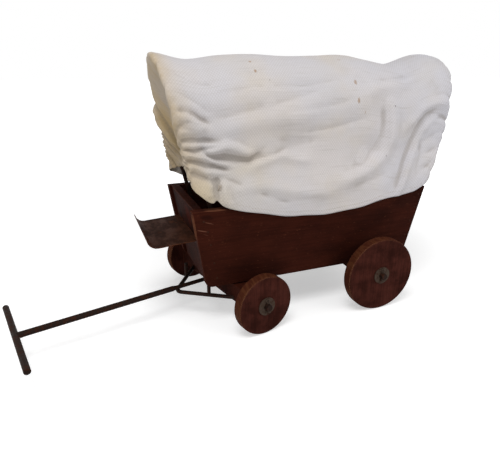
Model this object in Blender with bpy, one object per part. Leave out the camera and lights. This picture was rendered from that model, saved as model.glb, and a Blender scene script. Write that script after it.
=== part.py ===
"""Child's pull-along covered wagon: a flared wooden box on four solid wheels, with a steered
front axle, an iron drawbar and a cotton cover over four iron bows.

The wagon points along -X, its left side is -Y and +Z is up. Sizes are in metres. In the wagon's
own frame the king bolt stands on the Z axis and the wheels touch the ground at Z = 0. The last
step sets the finished wagon so that the middle of its bounding box is over the origin.
"""

import math

import bmesh
import bpy
import numpy as np
from mathutils import Matrix, Vector

MM = 0.001

# Clearances
GAP = 0.3 * MM
RUNNING_GAP = 0.5 * MM
RUB_GAP = 1.2 * MM

# Wooden box: heights over the ground, places along the wagon, half widths over the side boards
BOX_BOTTOM = 82 * MM
BOX_TOP = 234 * MM
FRONT_BOTTOM_X = -73 * MM
FRONT_TOP_X = -96 * MM
REAR_BOTTOM_X = 368 * MM
REAR_TOP_X = 398 * MM
HALF_BOTTOM = 95 * MM
HALF_TOP = 106 * MM
BOARD = 16 * MM
END_RECESS = 6 * MM
CORNER_RADIUS = 14 * MM
ARRIS = 1.2 * MM

# Wheels and axles
FRONT_WHEEL_RADIUS = 57 * MM
REAR_WHEEL_RADIUS = 75 * MM
WHEEL_THICKNESS = 21 * MM
WHEEL_INNER_FACE = 136 * MM
WHEEL_EDGE = 2.6 * MM
REAR_AXLE_X = 270 * MM
AXLE_AHEAD = 13 * MM
AXLE_RADIUS = 6.35 * MM
AXLE_END_OUT = 9 * MM
AXLE_CHAMFER = 1 * MM
WASHER_RADIUS = 17.4 * MM
WASHER = 2 * MM
PIN_RADIUS = 1.6 * MM
PIN_LENGTH = 23 * MM

# Axle blocks
BLOCK_LENGTH_GAP = 0.4 * MM
FRONT_BLOCK_HALF = 27 * MM
FRONT_BLOCK_BELOW_AXLE = 12 * MM
REAR_BLOCK_HALF = 23 * MM
REAR_BLOCK_BELOW_AXLE = 16 * MM

# King bolt and turn plate
BOLT_RADIUS = 4 * MM
BOLT_HEAD_RADIUS = 9 * MM
BOLT_HEAD = 4.5 * MM
BOLT_NUT_RADIUS = 7 * MM
BOLT_NUT = 5 * MM
TURN_PLATE_RADIUS = 24 * MM
TURN_PLATE = 2 * MM

# Drawbar, handle and yoke, in the frame of the front gear with the bolt at its origin
STEER_AT_REST_DEG = 12.4
HANDLE_X = -404 * MM
HANDLE_Z = 53 * MM
HANDLE_RADIUS = 5.4 * MM
HANDLE_LENGTH = 226 * MM
HANDLE_EDGE = 1.5 * MM
SHAFT_RADIUS = 5.4 * MM
SHAFT_NECK_X = -126 * MM
SHAFT_NECK_LENGTH = 7 * MM
SHAFT_NECK_RADIUS = 4 * MM
SHAFT_REAR_Z = 60 * MM
YOKE_RADIUS = 4 * MM
YOKE_NOSE_X = -115 * MM
YOKE_NOSE_RADIUS = 13 * MM
YOKE_END_X = -30 * MM
YOKE_END_Y = 94 * MM
YOKE_END_Z = 50.6 * MM
PEG_RADIUS = 3.5 * MM
PEG_X = -73 * MM

# Footboard of bent sheet iron
SHEET = 1.5 * MM
FOOT_HALF_WIDTH = 79 * MM
FOOT_BACK_Z = 173 * MM
FOOT_FLANGE = 13 * MM
FOOT_LENGTH = 71 * MM
FOOT_DROP = 4.5 * MM
LIP_RADIUS = 17 * MM
LIP_TURN_DEG = 88

# Bows: iron rods inside the side boards
BOW_RADIUS = 4 * MM
BOW_FOOT_Z = 160 * MM
BOW_SPRING_Z = 395 * MM
BOW_ARCH_STEPS = 14
# name, share of the box's top edge at which it stands, lean per unit of height (+ is rearwards)
BOW_SHARES = (
    ("bow_front", 0.077, -0.235),
    ("bow_mid_front", 0.300, 0.0),
    ("bow_mid_rear", 0.688, 0.0),
    ("bow_rear", 0.937, 0.20),
)

# Cotton cover
COVER = 2 * MM
COVER_OVER_BOW = 0.5 * MM
COVER_OVER_BOARD = 0.8 * MM
COVER_KNEE = 2.5 * MM
COVER_DRAW = 1.8
COVER_ROWS = 37
COVER_SIDE_COLUMNS = 19
# share of the box's top edge, lean per unit of height, skew (how far the right side stands behind
# the left, per unit of width), belly as a share of the half width, hem on the left and on the
# right as shares of the box's height, crown over the bows' line as a share of the half width,
# share of the section left where the hem draws it in
COVER_SHARES = (
    (0.078, -0.190, 0.03, 0.0, 1.375, 1.290, -0.110, 0.62),
    (0.046, -0.190, 0.03, 0.0, 1.355, 1.245, -0.060, 0.81),
    (0.028, -0.190, 0.03, 0.0, 1.329, 1.204, -0.020, 0.95),
    (0.036, -0.205, 0.02, 0.0, 1.237, 1.158, 0.0, 1.0),
    (0.077, -0.235, 0.0, 0.0, 1.099, 1.099, 0.0, 1.0),
    (0.138, -0.175, 0.0, 0.0, 1.007, 1.007, -0.057, 1.0),
    (0.205, -0.080, 0.0, 0.0, 0.947, 0.947, -0.028, 1.0),
    (0.300, 0.0, 0.0, 0.0, 0.868, 0.868, 0.0, 1.0),
    (0.417, 0.0, 0.0, 0.0, 0.803, 0.803, -0.019, 1.0),
    (0.559, 0.0, 0.0, 0.0, 0.796, 0.796, -0.019, 1.0),
    (0.688, 0.0, 0.0, 0.0, 0.836, 0.836, 0.0, 1.0),
    (0.773, 0.04, 0.0, 0.0, 0.875, 0.875, -0.075, 1.0),
    (0.850, 0.12, 0.0, 0.0, 0.915, 0.915, -0.150, 1.0),
    (0.937, 0.20, 0.0, 0.02, 0.947, 0.947, 0.022, 1.0),
    (0.968, 0.29, 0.0, 0.12, 1.010, 1.010, 0.0, 1.0),
    (0.984, 0.35, 0.0, 0.19, 1.080, 1.080, -0.080, 0.96),
    (0.968, 0.34, 0.0, 0.18, 1.160, 1.160, -0.120, 0.82),
    (0.940, 0.32, 0.0, 0.16, 1.220, 1.220, -0.160, 0.66),
)
# The cover's main folds, each a straight ridge: height and half width, then where it starts and
# ends, along the box's top edge and down from the crown. All but the names are shares, the place
# along of the box's length and the others of its half width.
COVER_FOLD_SHARES = (
    ("front lobe", 0.050, 0.160, -0.030, 1.500, 0.060, 1.560),
    ("long roll", 0.070, 0.110, 0.055, 1.885, 0.235, 2.040),
    ("middle roll", 0.055, 0.110, -0.020, 2.000, 0.130, 2.110),
    ("broad front ridge", 0.040, 0.220, 0.100, 1.565, 0.495, 1.330),
    ("middle ridge", 0.035, 0.140, 0.220, 2.255, 0.470, 2.210),
    ("rear sweep, upper part", 0.060, 0.130, 0.820, 1.210, 0.812, 1.930),
    ("rear sweep, lower part", 0.055, 0.130, 0.812, 1.930, 0.690, 2.500),
    ("rear shoulder", 0.050, 0.130, 0.705, 1.085, 0.960, 0.670),
    ("rear edge roll", 0.055, 0.110, 1.016, 1.600, 0.860, 2.740),
    ("rear upper roll", 0.045, 0.120, 0.890, 1.600, 1.080, 1.300),
)

# Fineness of round forms
WHEEL_STEPS = 56
ROD_STEPS = 16
ARC_STEPS = 5
BEVEL_STEPS = 2
SMOOTH_DEG = 35


def clear_scene():
    for obj in list(bpy.data.objects):
        bpy.data.objects.remove(obj, do_unlink=True)


def paint(name, colour, roughness, metallic):
    """A material with one colour (linear RGB), roughness and metallic value."""
    made = bpy.data.materials.new(name)
    made.use_nodes = True
    shader = made.node_tree.nodes["Principled BSDF"]
    shader.inputs["Base Color"].default_value = (*colour, 1)
    shader.inputs["Roughness"].default_value = roughness
    shader.inputs["Metallic"].default_value = metallic
    made.diffuse_color = (*colour, 1)
    return made


def empty(name, place, parent=None, turn=0.0):
    """A guide that carries the pieces of one moving body, on its joint's axis."""
    made = bpy.data.objects.new(name, None)
    bpy.context.scene.collection.objects.link(made)
    made.parent = parent
    made.location = place
    made.rotation_euler.z = turn
    return made


def piece(name, bm, material, parent, arris=0.0):
    """Turns a bmesh into one named, closed and smoothly shaded piece."""
    bmesh.ops.recalc_face_normals(bm, faces=bm.faces)
    mesh = bpy.data.meshes.new(name)
    bm.to_mesh(mesh)
    bm.free()
    mesh.materials.append(material)
    mesh.shade_smooth()
    mesh.set_sharp_from_angle(angle=math.radians(SMOOTH_DEG))
    made = bpy.data.objects.new(name, mesh)
    bpy.context.scene.collection.objects.link(made)
    made.parent = parent
    if arris:
        worn = made.modifiers.new("worn arris", "BEVEL")
        worn.width = arris
        worn.segments = BEVEL_STEPS
        worn.limit_method = "ANGLE"
        worn.angle_limit = math.radians(SMOOTH_DEG)
    return made


def ring_loft(rings, closed=False):
    """A bmesh skin over rings of points, capped at both ends or joined last to first."""
    bm = bmesh.new()
    rows = [[bm.verts.new(point) for point in ring] for ring in rings]
    pairs = list(zip(rows, rows[1:]))
    if closed:
        pairs.append((rows[-1], rows[0]))
    for low, high in pairs:
        count = len(low)
        for i in range(count):
            j = (i + 1) % count
            bm.faces.new((low[i], low[j], high[j], high[i]))
    if not closed:
        bm.faces.new(list(reversed(rows[0])))
        bm.faces.new(rows[-1])
    return bm


def slab(profile, low_side, high_side):
    """A board: an (x, z) profile carried from y = low_side(z) to y = high_side(z)."""
    low = [Vector((x, low_side(z), z)) for x, z in profile]
    high = [Vector((x, high_side(z), z)) for x, z in profile]
    return ring_loft([low, high])


def turned(profile, steps, axis="Y"):
    """A ring turned from a closed (radius, place) profile about the Y or the Z axis."""
    rings = []
    for i in range(steps):
        angle = 2 * math.pi * i / steps
        across, up = math.cos(angle), math.sin(angle)
        if axis == "Y":
            rings.append([Vector((r * across, place, r * up)) for r, place in profile])
        else:
            rings.append([Vector((r * across, r * up, place)) for r, place in profile])
    return ring_loft(rings, closed=True)


def spindle(profile, steps, axis="Y"):
    """A solid turned from an open (radius, place) profile, closed by flat ends."""
    rings = []
    for r, place in profile:
        ring = []
        for i in range(steps):
            angle = 2 * math.pi * i / steps
            across, up = r * math.cos(angle), r * math.sin(angle)
            ring.append(Vector((across, place, up) if axis == "Y" else (across, up, place)))
        rings.append(ring)
    return ring_loft(rings)


def arc(centre, radius, start_deg, end_deg, steps):
    """Points of an arc in a plane, with both ends."""
    points = []
    for i in range(steps + 1):
        angle = math.radians(start_deg + (end_deg - start_deg) * i / steps)
        points.append((centre[0] + radius * math.cos(angle), centre[1] + radius * math.sin(angle)))
    return points


def bent_rod(name, path, radius, material, parent):
    """A round rod bent along a path, as a curve with a round bevel and filled ends."""
    curve = bpy.data.curves.new(name, "CURVE")
    curve.dimensions = "3D"
    curve.bevel_depth = radius
    curve.bevel_resolution = 2
    curve.use_fill_caps = True
    spline = curve.splines.new("POLY")
    spline.points.add(len(path) - 1)
    for point, place in zip(spline.points, path):
        point.co = (*place, 1)
    curve.materials.append(material)
    made = bpy.data.objects.new(name, curve)
    bpy.context.scene.collection.objects.link(made)
    made.parent = parent
    return made


def cut(target, cutter_bm, label):
    """Takes a shape away from a piece, by a Boolean with a hidden cutter."""
    bmesh.ops.recalc_face_normals(cutter_bm, faces=cutter_bm.faces)
    mesh = bpy.data.meshes.new(label)
    cutter_bm.to_mesh(mesh)
    cutter_bm.free()
    cutter = bpy.data.objects.new(label, mesh)
    bpy.context.scene.collection.objects.link(cutter)
    cutter.parent = target.parent
    cutter.hide_render = True
    cutter.display_type = "WIRE"
    hole = target.modifiers.new(label, "BOOLEAN")
    hole.operation = "DIFFERENCE"
    hole.object = cutter


def share_of_height(z):
    return (z - BOX_BOTTOM) / (BOX_TOP - BOX_BOTTOM)


def front_x(z):
    """Front edge of the side boards at a height."""
    return FRONT_BOTTOM_X + (FRONT_TOP_X - FRONT_BOTTOM_X) * share_of_height(z)


def rear_x(z):
    return REAR_BOTTOM_X + (REAR_TOP_X - REAR_BOTTOM_X) * share_of_height(z)


def outer_half(z):
    """Half width over the side boards at a height."""
    return HALF_BOTTOM + (HALF_TOP - HALF_BOTTOM) * share_of_height(z)


def inner_half(z):
    return outer_half(z) - BOARD


def lower_corner(x_of, toward):
    """Rounded lower corner of a side board; toward is +1 at the front and -1 at the rear."""
    centre = (x_of(BOX_BOTTOM + CORNER_RADIUS) + toward * CORNER_RADIUS, BOX_BOTTOM + CORNER_RADIUS)
    turn = (270, 180) if toward > 0 else (360, 270)
    return arc(centre, CORNER_RADIUS, *turn, ARC_STEPS)


def side_profile():
    front = lower_corner(front_x, 1)
    rear = lower_corner(rear_x, -1)
    return front + [(front_x(BOX_TOP), BOX_TOP), (rear_x(BOX_TOP), BOX_TOP)] + rear


def make_box(wood, parent):
    """Side boards, end panels between them, and the floor between all four."""
    profile = side_profile()
    left = slab(profile, lambda z: -outer_half(z), lambda z: -inner_half(z))
    right = slab(profile, inner_half, outer_half)
    piece("side_board_left", left, wood, parent, ARRIS)
    piece("side_board_right", right, wood, parent, ARRIS)

    def inside(z):
        return inner_half(z) - GAP

    def outside_left(z):
        return -inside(z)

    front = []
    rear = []
    for depth, z in ((0, BOX_BOTTOM), (0, BOX_TOP), (1, BOX_TOP), (1, BOX_BOTTOM)):
        front.append((front_x(z) + END_RECESS + depth * BOARD, z))
        rear.append((rear_x(z) - END_RECESS - depth * BOARD, z))
    piece("front_panel", slab(front, outside_left, inside), wood, parent, ARRIS)
    piece("rear_panel", slab(rear, outside_left, inside), wood, parent, ARRIS)

    top = BOX_BOTTOM + BOARD
    inset = END_RECESS + BOARD + GAP
    floor = [
        (front_x(BOX_BOTTOM) + inset, BOX_BOTTOM),
        (front_x(top) + inset, top),
        (rear_x(top) - inset, top),
        (rear_x(BOX_BOTTOM) - inset, BOX_BOTTOM),
    ]
    board = piece("floor_board", slab(floor, outside_left, inside), wood, parent)
    hole = spindle(
        [(BOLT_RADIUS + GAP, BOX_BOTTOM - BOARD), (BOLT_RADIUS + GAP, top + BOARD)],
        ROD_STEPS,
        "Z",
    )
    cut(board, hole, "bolt hole in floor")


def make_footboard(iron, parent):
    """A sheet tray nailed to the front panel by a flange, its front edge curled up to a lip."""
    back_x = front_x(FOOT_BACK_Z) + END_RECESS - GAP
    flange_z = FOOT_BACK_Z - FOOT_FLANGE
    lean = front_x(FOOT_BACK_Z) - front_x(flange_z)
    fold = (back_x - FOOT_LENGTH, FOOT_BACK_Z - FOOT_DROP)
    drop_deg = math.degrees(math.atan2(FOOT_DROP, FOOT_LENGTH))
    centre = (
        fold[0] - LIP_RADIUS * math.sin(math.radians(drop_deg)),
        fold[1] + LIP_RADIUS * math.cos(math.radians(drop_deg)),
    )
    start = 270 + drop_deg
    upper = [(back_x - lean, flange_z), (back_x, FOOT_BACK_Z)]
    upper += arc(centre, LIP_RADIUS, start, start - LIP_TURN_DEG, ARC_STEPS)
    lower = [(back_x - lean - SHEET, flange_z), (back_x - SHEET, FOOT_BACK_Z - SHEET)]
    lower += arc(centre, LIP_RADIUS + SHEET, start, start - LIP_TURN_DEG, ARC_STEPS)
    profile = upper + list(reversed(lower))
    tray = slab(profile, lambda z: -FOOT_HALF_WIDTH, lambda z: FOOT_HALF_WIDTH)
    piece("footboard", tray, iron, parent)


def along_top(share):
    """Place along the box's top edge, from the front (0) to the rear (1)."""
    return FRONT_TOP_X + (REAR_TOP_X - FRONT_TOP_X) * share


def bow_path(place, lean):
    """Foot inside the box, up along the board, straight up, and over in a half circle."""
    at_top = inner_half(BOX_TOP) - GAP - BOW_RADIUS
    at_foot = inner_half(BOW_FOOT_Z) - GAP - BOW_RADIUS

    def at(y, z):
        return Vector((place + lean * (z - BOX_TOP), y, z))

    left = [at(-at_foot, BOW_FOOT_Z), at(-at_top, BOX_TOP), at(-at_top, BOW_SPRING_Z)]
    right = [at(at_top, BOX_TOP), at(at_foot, BOW_FOOT_Z)]
    half_circle = arc((0, BOW_SPRING_Z), at_top, 180, 0, BOW_ARCH_STEPS)
    return left + [at(y, z) for y, z in half_circle[1:]] + right


def make_bows(iron, parent):
    for name, share, lean in BOW_SHARES:
        bent_rod(name, bow_path(along_top(share), lean), BOW_RADIUS, iron, parent)


def cover_stations():
    """Rows of the cover's shares at even steps along the cloth, on one smooth curve."""
    table = np.array(COVER_SHARES)
    length = (REAR_TOP_X - FRONT_TOP_X) * np.diff(table[:, 0])
    drawn_in = HALF_TOP * np.diff(table[:, -1])
    at = np.concatenate([[0], np.cumsum(np.hypot(length, drawn_in))])
    slopes = []
    for i in range(len(at)):
        before, after = max(i - 1, 0), min(i + 1, len(at) - 1)
        slopes.append((table[after] - table[before]) / (at[after] - at[before]))
    rows = []
    for place in np.linspace(0, at[-1], COVER_ROWS):
        k = min(int(np.searchsorted(at, place, side="right")), len(at) - 1) - 1
        span = at[k + 1] - at[k]
        t = (place - at[k]) / span
        smooth = t * t * (3 - 2 * t)
        rows.append(table[k] * (1 - smooth) + table[k + 1] * smooth
                    + span * t * (1 - t) * ((1 - t) * slopes[k] - t * slopes[k + 1]))
    return rows


def cover_profile(hem_z, crown, share, down):
    """Half width, height and distance from the crown, at a share of the way down to the hem."""
    over_board = HALF_TOP + COVER_OVER_BOARD
    over_bow = inner_half(BOX_TOP) - GAP + COVER_OVER_BOW
    radius = over_bow * share
    spring = BOW_SPRING_Z + crown
    quarter = radius * math.pi / 2
    run = down * (quarter + spring - hem_z)
    if run <= quarter:
        return radius * math.sin(run / radius), spring + radius * math.cos(run / radius), run
    z = spring - (run - quarter)
    knee = max(BOX_TOP + COVER_OVER_BOARD, hem_z) + COVER_KNEE
    eased = min(1, COVER_DRAW * max(0, (z - knee) / (spring - knee)))
    eased = eased * eased * (3 - 2 * eased)
    return (over_board + (over_bow - over_board) * eased) * share, z, run


def fold_height(x, run):
    """How far the cover's main folds stand off at a place along and a distance from the crown."""
    height = 0
    for _, rise, width, along_a, down_a, along_b, down_b in COVER_FOLD_SHARES:
        start = Vector((along_top(along_a), down_a * HALF_TOP))
        line = Vector((along_top(along_b), down_b * HALF_TOP)) - start
        offset = Vector((x, run)) - start
        t = min(1, max(0, offset.dot(line) / line.length_squared))
        away = (offset - line * t).length / (width * HALF_TOP)
        height += rise * HALF_TOP * math.exp(-away * away)
    return height


def moved_out(rows, distances):
    """Rows of points of a curved sheet, each point moved outwards along the sheet's normal."""
    moved = []
    for i, row in enumerate(rows):
        back = rows[max(i - 1, 0)]
        ahead = rows[min(i + 1, len(rows) - 1)]
        line = []
        for j, point in enumerate(row):
            along = ahead[j] - back[j]
            across = row[min(j + 1, len(row) - 1)] - row[max(j - 1, 0)]
            line.append(point + distances[i][j] * along.cross(across).normalized())
        moved.append(line)
    return moved


def cover_rows():
    """Rows of points on the cover's inner face, its main folds among them."""
    rows, heights = [], []
    columns = COVER_SIDE_COLUMNS
    for along, lean, skew, belly, hem_left, hem_right, crown, drawn in cover_stations():
        row, folds = [], []
        for j in range(-columns, columns + 1):
            hem = hem_left if j < 0 else hem_right
            hem_z = BOX_BOTTOM + (BOX_TOP - BOX_BOTTOM) * hem
            half, z, run = cover_profile(hem_z, HALF_TOP * crown, drawn, abs(j) / columns)
            y = half if j > 0 else -half
            up = min(1, max(0, (z - BOX_TOP) / (BOW_SPRING_Z - BOX_TOP)))
            bulge = 4 * up * (1 - up) * belly * HALF_TOP
            x = along_top(along) + lean * (z - BOX_TOP) + skew * y + bulge
            row.append(Vector((x, y, z)))
            folds.append(fold_height(x, run))
        rows.append(row)
        heights.append(folds)
    return moved_out(rows, heights)


def make_cover(cotton, parent):
    """The cover as one curved sheet, open at both ends and below, with its own thickness."""
    bm = bmesh.new()
    faces_in = cover_rows()
    thickness = [[COVER] * len(row) for row in faces_in]
    rows = []
    for inner, outer in zip(faces_in, moved_out(faces_in, thickness)):
        rows.append([bm.verts.new(point) for point in inner + list(reversed(outer))])
    count = len(rows[0])
    for low, high in zip(rows, rows[1:]):
        for i in range(count):
            j = (i + 1) % count
            # both faces of the sheet are split along the same diagonal, so they never cross
            if i < count // 2:
                bm.faces.new((low[i], low[j], high[j]))
                bm.faces.new((low[i], high[j], high[i]))
            else:
                bm.faces.new((low[i], low[j], high[i]))
                bm.faces.new((low[j], high[j], high[i]))
    for row in (rows[0], rows[-1]):
        for i in range(count // 2 - 1):
            bm.faces.new((row[i], row[i + 1], row[count - 2 - i], row[count - 1 - i]))
    piece("canvas_cover", bm, cotton, parent)


def notched_block(half, bottom, top, axle_z, from_below, length, middle_x):
    """A wooden block with a round-bottomed groove that takes the axle."""
    seat = AXLE_RADIUS + GAP
    if from_below:
        groove = arc((middle_x, axle_z), seat, 0, 180, ARC_STEPS * 2)
        profile = [(middle_x + half, bottom), (middle_x + half, top), (middle_x - half, top)]
        profile += [(middle_x - half, bottom), (middle_x - seat, bottom)]
        profile += list(reversed(groove)) + [(middle_x + seat, bottom)]
    else:
        groove = arc((middle_x, axle_z), seat, 180, 360, ARC_STEPS * 2)
        profile = [(middle_x - half, top), (middle_x - half, bottom), (middle_x + half, bottom)]
        profile += [(middle_x + half, top), (middle_x + seat, top)]
        profile += list(reversed(groove)) + [(middle_x - seat, top)]
    return slab(profile, lambda z: -length, lambda z: length)


def block_half_length():
    return WHEEL_INNER_FACE - RUNNING_GAP - WASHER - BLOCK_LENGTH_GAP


def washer_places():
    """Inner faces of the inner and the outer washer, from the wagon's middle."""
    inner = WHEEL_INNER_FACE - RUNNING_GAP - WASHER
    outer = WHEEL_INNER_FACE + WHEEL_THICKNESS + RUNNING_GAP
    return inner, outer


def make_axle(name, iron, parent, middle):
    """Axle rod with its washers and the split pins that keep the wheels on."""
    _, outer = washer_places()
    end = outer + WASHER + AXLE_END_OUT
    pin_y = outer + WASHER + GAP + PIN_RADIUS
    profile = [(AXLE_RADIUS - AXLE_CHAMFER, -end), (AXLE_RADIUS, -end + AXLE_CHAMFER)]
    profile += [(AXLE_RADIUS, end - AXLE_CHAMFER), (AXLE_RADIUS - AXLE_CHAMFER, end)]
    bm = spindle(profile, ROD_STEPS)
    bmesh.ops.translate(bm, verts=bm.verts, vec=middle)
    rod = piece(name + "_axle", bm, iron, parent)
    for side, sign in (("left", -1), ("right", 1)):
        place = middle + Vector((0, sign * pin_y, 0))
        hole = spindle([(PIN_RADIUS + GAP, -PIN_LENGTH), (PIN_RADIUS + GAP, PIN_LENGTH)], ROD_STEPS, "Z")
        bmesh.ops.translate(hole, verts=hole.verts, vec=place)
        cut(rod, hole, f"{name} pin hole {side}")
        pin = spindle([(PIN_RADIUS, -PIN_LENGTH / 2), (PIN_RADIUS, PIN_LENGTH / 2)], ROD_STEPS // 2, "Z")
        bmesh.ops.translate(pin, verts=pin.verts, vec=place)
        piece(f"{name}_split_pin_{side}", pin, iron, parent)
        for label, start in zip(("inner", "outer"), washer_places()):
            inside = AXLE_RADIUS + GAP
            end = start + WASHER
            section = [(inside, start), (WASHER_RADIUS, start), (WASHER_RADIUS, end), (inside, end)]
            ring = turned(section, ROD_STEPS * 2)
            if sign < 0:
                bmesh.ops.rotate(ring, verts=ring.verts, matrix=Matrix.Rotation(math.pi, 3, "Z"))
            bmesh.ops.translate(ring, verts=ring.verts, vec=middle)
            piece(f"{name}_washer_{label}_{side}", ring, iron, parent)


def make_wheel(name, radius, wood, parent):
    """A solid wooden disc with a rounded rim and a bore for the axle, on its own middle."""
    half = WHEEL_THICKNESS / 2
    bore = AXLE_RADIUS + GAP
    outer_edge = arc((radius - WHEEL_EDGE, half - WHEEL_EDGE), WHEEL_EDGE, 90, 0, 3)
    inner_edge = arc((radius - WHEEL_EDGE, WHEEL_EDGE - half), WHEEL_EDGE, 0, -90, 3)
    profile = [(bore, half)] + outer_edge + inner_edge + [(bore, -half)]
    piece(name, turned(profile, WHEEL_STEPS), wood, parent)


def wheel_middle(sign):
    return sign * (WHEEL_INNER_FACE + WHEEL_THICKNESS / 2)


def make_king_bolt(iron, parent):
    """Round-headed bolt down through the floor and the front block, with its nut below."""
    head_z = BOX_BOTTOM + BOARD + GAP
    block_bottom = FRONT_WHEEL_RADIUS - FRONT_BLOCK_BELOW_AXLE
    nut_z = block_bottom - RUNNING_GAP
    profile = [(BOLT_RADIUS, nut_z - BOLT_NUT - BOLT_RADIUS), (BOLT_RADIUS, nut_z - BOLT_NUT)]
    profile += [(BOLT_NUT_RADIUS, nut_z - BOLT_NUT), (BOLT_NUT_RADIUS, nut_z)]
    profile += [(BOLT_RADIUS, nut_z), (BOLT_RADIUS, head_z), (BOLT_HEAD_RADIUS, head_z)]
    for step in range(1, ARC_STEPS):
        angle = math.pi / 2 * step / ARC_STEPS
        profile.append((BOLT_HEAD_RADIUS * math.cos(angle), head_z + BOLT_HEAD * math.sin(angle)))
    piece("king_bolt", spindle(profile, ROD_STEPS, "Z"), iron, parent)
    hole = BOLT_RADIUS + GAP
    low = BOX_BOTTOM - GAP - TURN_PLATE
    high = BOX_BOTTOM - GAP
    ring = [(hole, low), (TURN_PLATE_RADIUS, low), (TURN_PLATE_RADIUS, high), (hole, high)]
    piece("turn_plate", turned(ring, ROD_STEPS * 2, "Z"), iron, parent)


def shaft_z(x):
    """Height of the drawbar shaft's middle, which falls a little towards the handle."""
    rear = -AXLE_AHEAD - FRONT_BLOCK_HALF
    return SHAFT_REAR_Z + (HANDLE_Z - SHAFT_REAR_Z) * (rear - x) / (rear - HANDLE_X)


def yoke_z(x):
    """Height of the yoke rod, which passes just under the shaft's neck at its nose."""
    nose = shaft_z(YOKE_NOSE_X) - SHAFT_NECK_RADIUS - GAP - YOKE_RADIUS
    return nose + (YOKE_END_Z - nose) * (x - YOKE_NOSE_X) / (YOKE_END_X - YOKE_NOSE_X)


def yoke_turn_deg():
    """Angle between a straight leg of the yoke and the wagon's length."""
    run = YOKE_END_X - YOKE_NOSE_X - YOKE_NOSE_RADIUS
    reach = math.hypot(run, YOKE_END_Y)
    tilt = math.degrees(math.asin(YOKE_NOSE_RADIUS / reach))
    return math.degrees(math.atan2(YOKE_END_Y, run)) - tilt


def yoke_path():
    """A V bent from one rod, with a round nose under the shaft and legs out to the block."""
    centre = (YOKE_NOSE_X + YOKE_NOSE_RADIUS, 0)
    turn = yoke_turn_deg()
    nose = arc(centre, YOKE_NOSE_RADIUS, 90 + turn, 270 - turn, ARC_STEPS * 2)
    flat = [(YOKE_END_X, YOKE_END_Y)] + nose + [(YOKE_END_X, -YOKE_END_Y)]
    return [Vector((x, y, yoke_z(x))) for x, y in flat]


def yoke_y(x):
    """Distance of a leg from the wagon's middle line at a place along it."""
    turn = math.radians(yoke_turn_deg())
    return YOKE_END_Y - (YOKE_END_X - x) * math.tan(turn)


def make_drawbar(iron, parent):
    """Shaft, T handle, V yoke and the two pegs that ride under the box."""
    rear = -AXLE_AHEAD - FRONT_BLOCK_HALF - GAP
    tilt = math.atan2(SHAFT_REAR_Z - HANDLE_Z, rear - HANDLE_X)
    neck = HANDLE_X - SHAFT_NECK_X
    profile = [(SHAFT_RADIUS, 0), (SHAFT_RADIUS, neck), (SHAFT_NECK_RADIUS, neck - SHAFT_NECK_LENGTH)]
    profile.append((SHAFT_NECK_RADIUS, (HANDLE_X - rear) / math.cos(tilt)))
    bm = spindle(profile, ROD_STEPS)
    lay = Matrix.Rotation(math.pi / 2, 4, "Z")
    raise_end = Matrix.Rotation(-tilt, 4, "Y")
    place = Matrix.Translation((HANDLE_X, 0, HANDLE_Z))
    bmesh.ops.transform(bm, verts=bm.verts, matrix=place @ raise_end @ lay)
    shaft = piece("drawbar_shaft", bm, iron, parent)
    half = HANDLE_LENGTH / 2
    mouth = spindle([(HANDLE_RADIUS + GAP, -half), (HANDLE_RADIUS + GAP, half)], ROD_STEPS * 2)
    bmesh.ops.translate(mouth, verts=mouth.verts, vec=Vector((HANDLE_X, 0, HANDLE_Z)))
    cut(shaft, mouth, "shaft end at handle")
    profile = [(HANDLE_RADIUS - HANDLE_EDGE, -half), (HANDLE_RADIUS, HANDLE_EDGE - half)]
    profile += [(HANDLE_RADIUS, half - HANDLE_EDGE), (HANDLE_RADIUS - HANDLE_EDGE, half)]
    handle = spindle(profile, ROD_STEPS)
    bmesh.ops.translate(handle, verts=handle.verts, vec=Vector((HANDLE_X, 0, HANDLE_Z)))
    piece("drawbar_handle", handle, iron, parent)
    yoke = bent_rod("yoke", yoke_path(), YOKE_RADIUS, iron, parent)
    trim(yoke, front_face())
    for side, sign in (("left", -1), ("right", 1)):
        foot = yoke_z(PEG_X) + YOKE_RADIUS + GAP
        head = BOX_BOTTOM - RUB_GAP
        peg = spindle([(PEG_RADIUS, foot), (PEG_RADIUS, head)], ROD_STEPS, "Z")
        bmesh.ops.translate(peg, verts=peg.verts, vec=Vector((PEG_X, sign * yoke_y(PEG_X), 0)))
        piece(f"yoke_peg_{side}", peg, iron, parent)


def front_face():
    """A cutter that stands a gap ahead of the front block's face and covers the whole block."""
    face = -AXLE_AHEAD - FRONT_BLOCK_HALF - GAP
    low, high = FRONT_WHEEL_RADIUS - WASHER_RADIUS, BOX_BOTTOM
    profile = [(face, low), (face, high), (FRONT_BLOCK_HALF, high), (FRONT_BLOCK_HALF, low)]
    return slab(profile, lambda z: -block_half_length(), lambda z: block_half_length())


def trim(rod, cutter_bm):
    """Turns a bent rod into a mesh and cuts its ends off."""
    graph = bpy.context.evaluated_depsgraph_get()
    mesh = bpy.data.meshes.new_from_object(rod.evaluated_get(graph))
    bm = bmesh.new()
    bm.from_mesh(mesh)
    bmesh.ops.remove_doubles(bm, verts=bm.verts, dist=GAP / 10)
    name, parent, material = rod.name, rod.parent, rod.data.materials[0]
    bpy.data.objects.remove(rod, do_unlink=True)
    cut(piece(name, bm, material, parent), cutter_bm, f"{name} ends")


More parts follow.
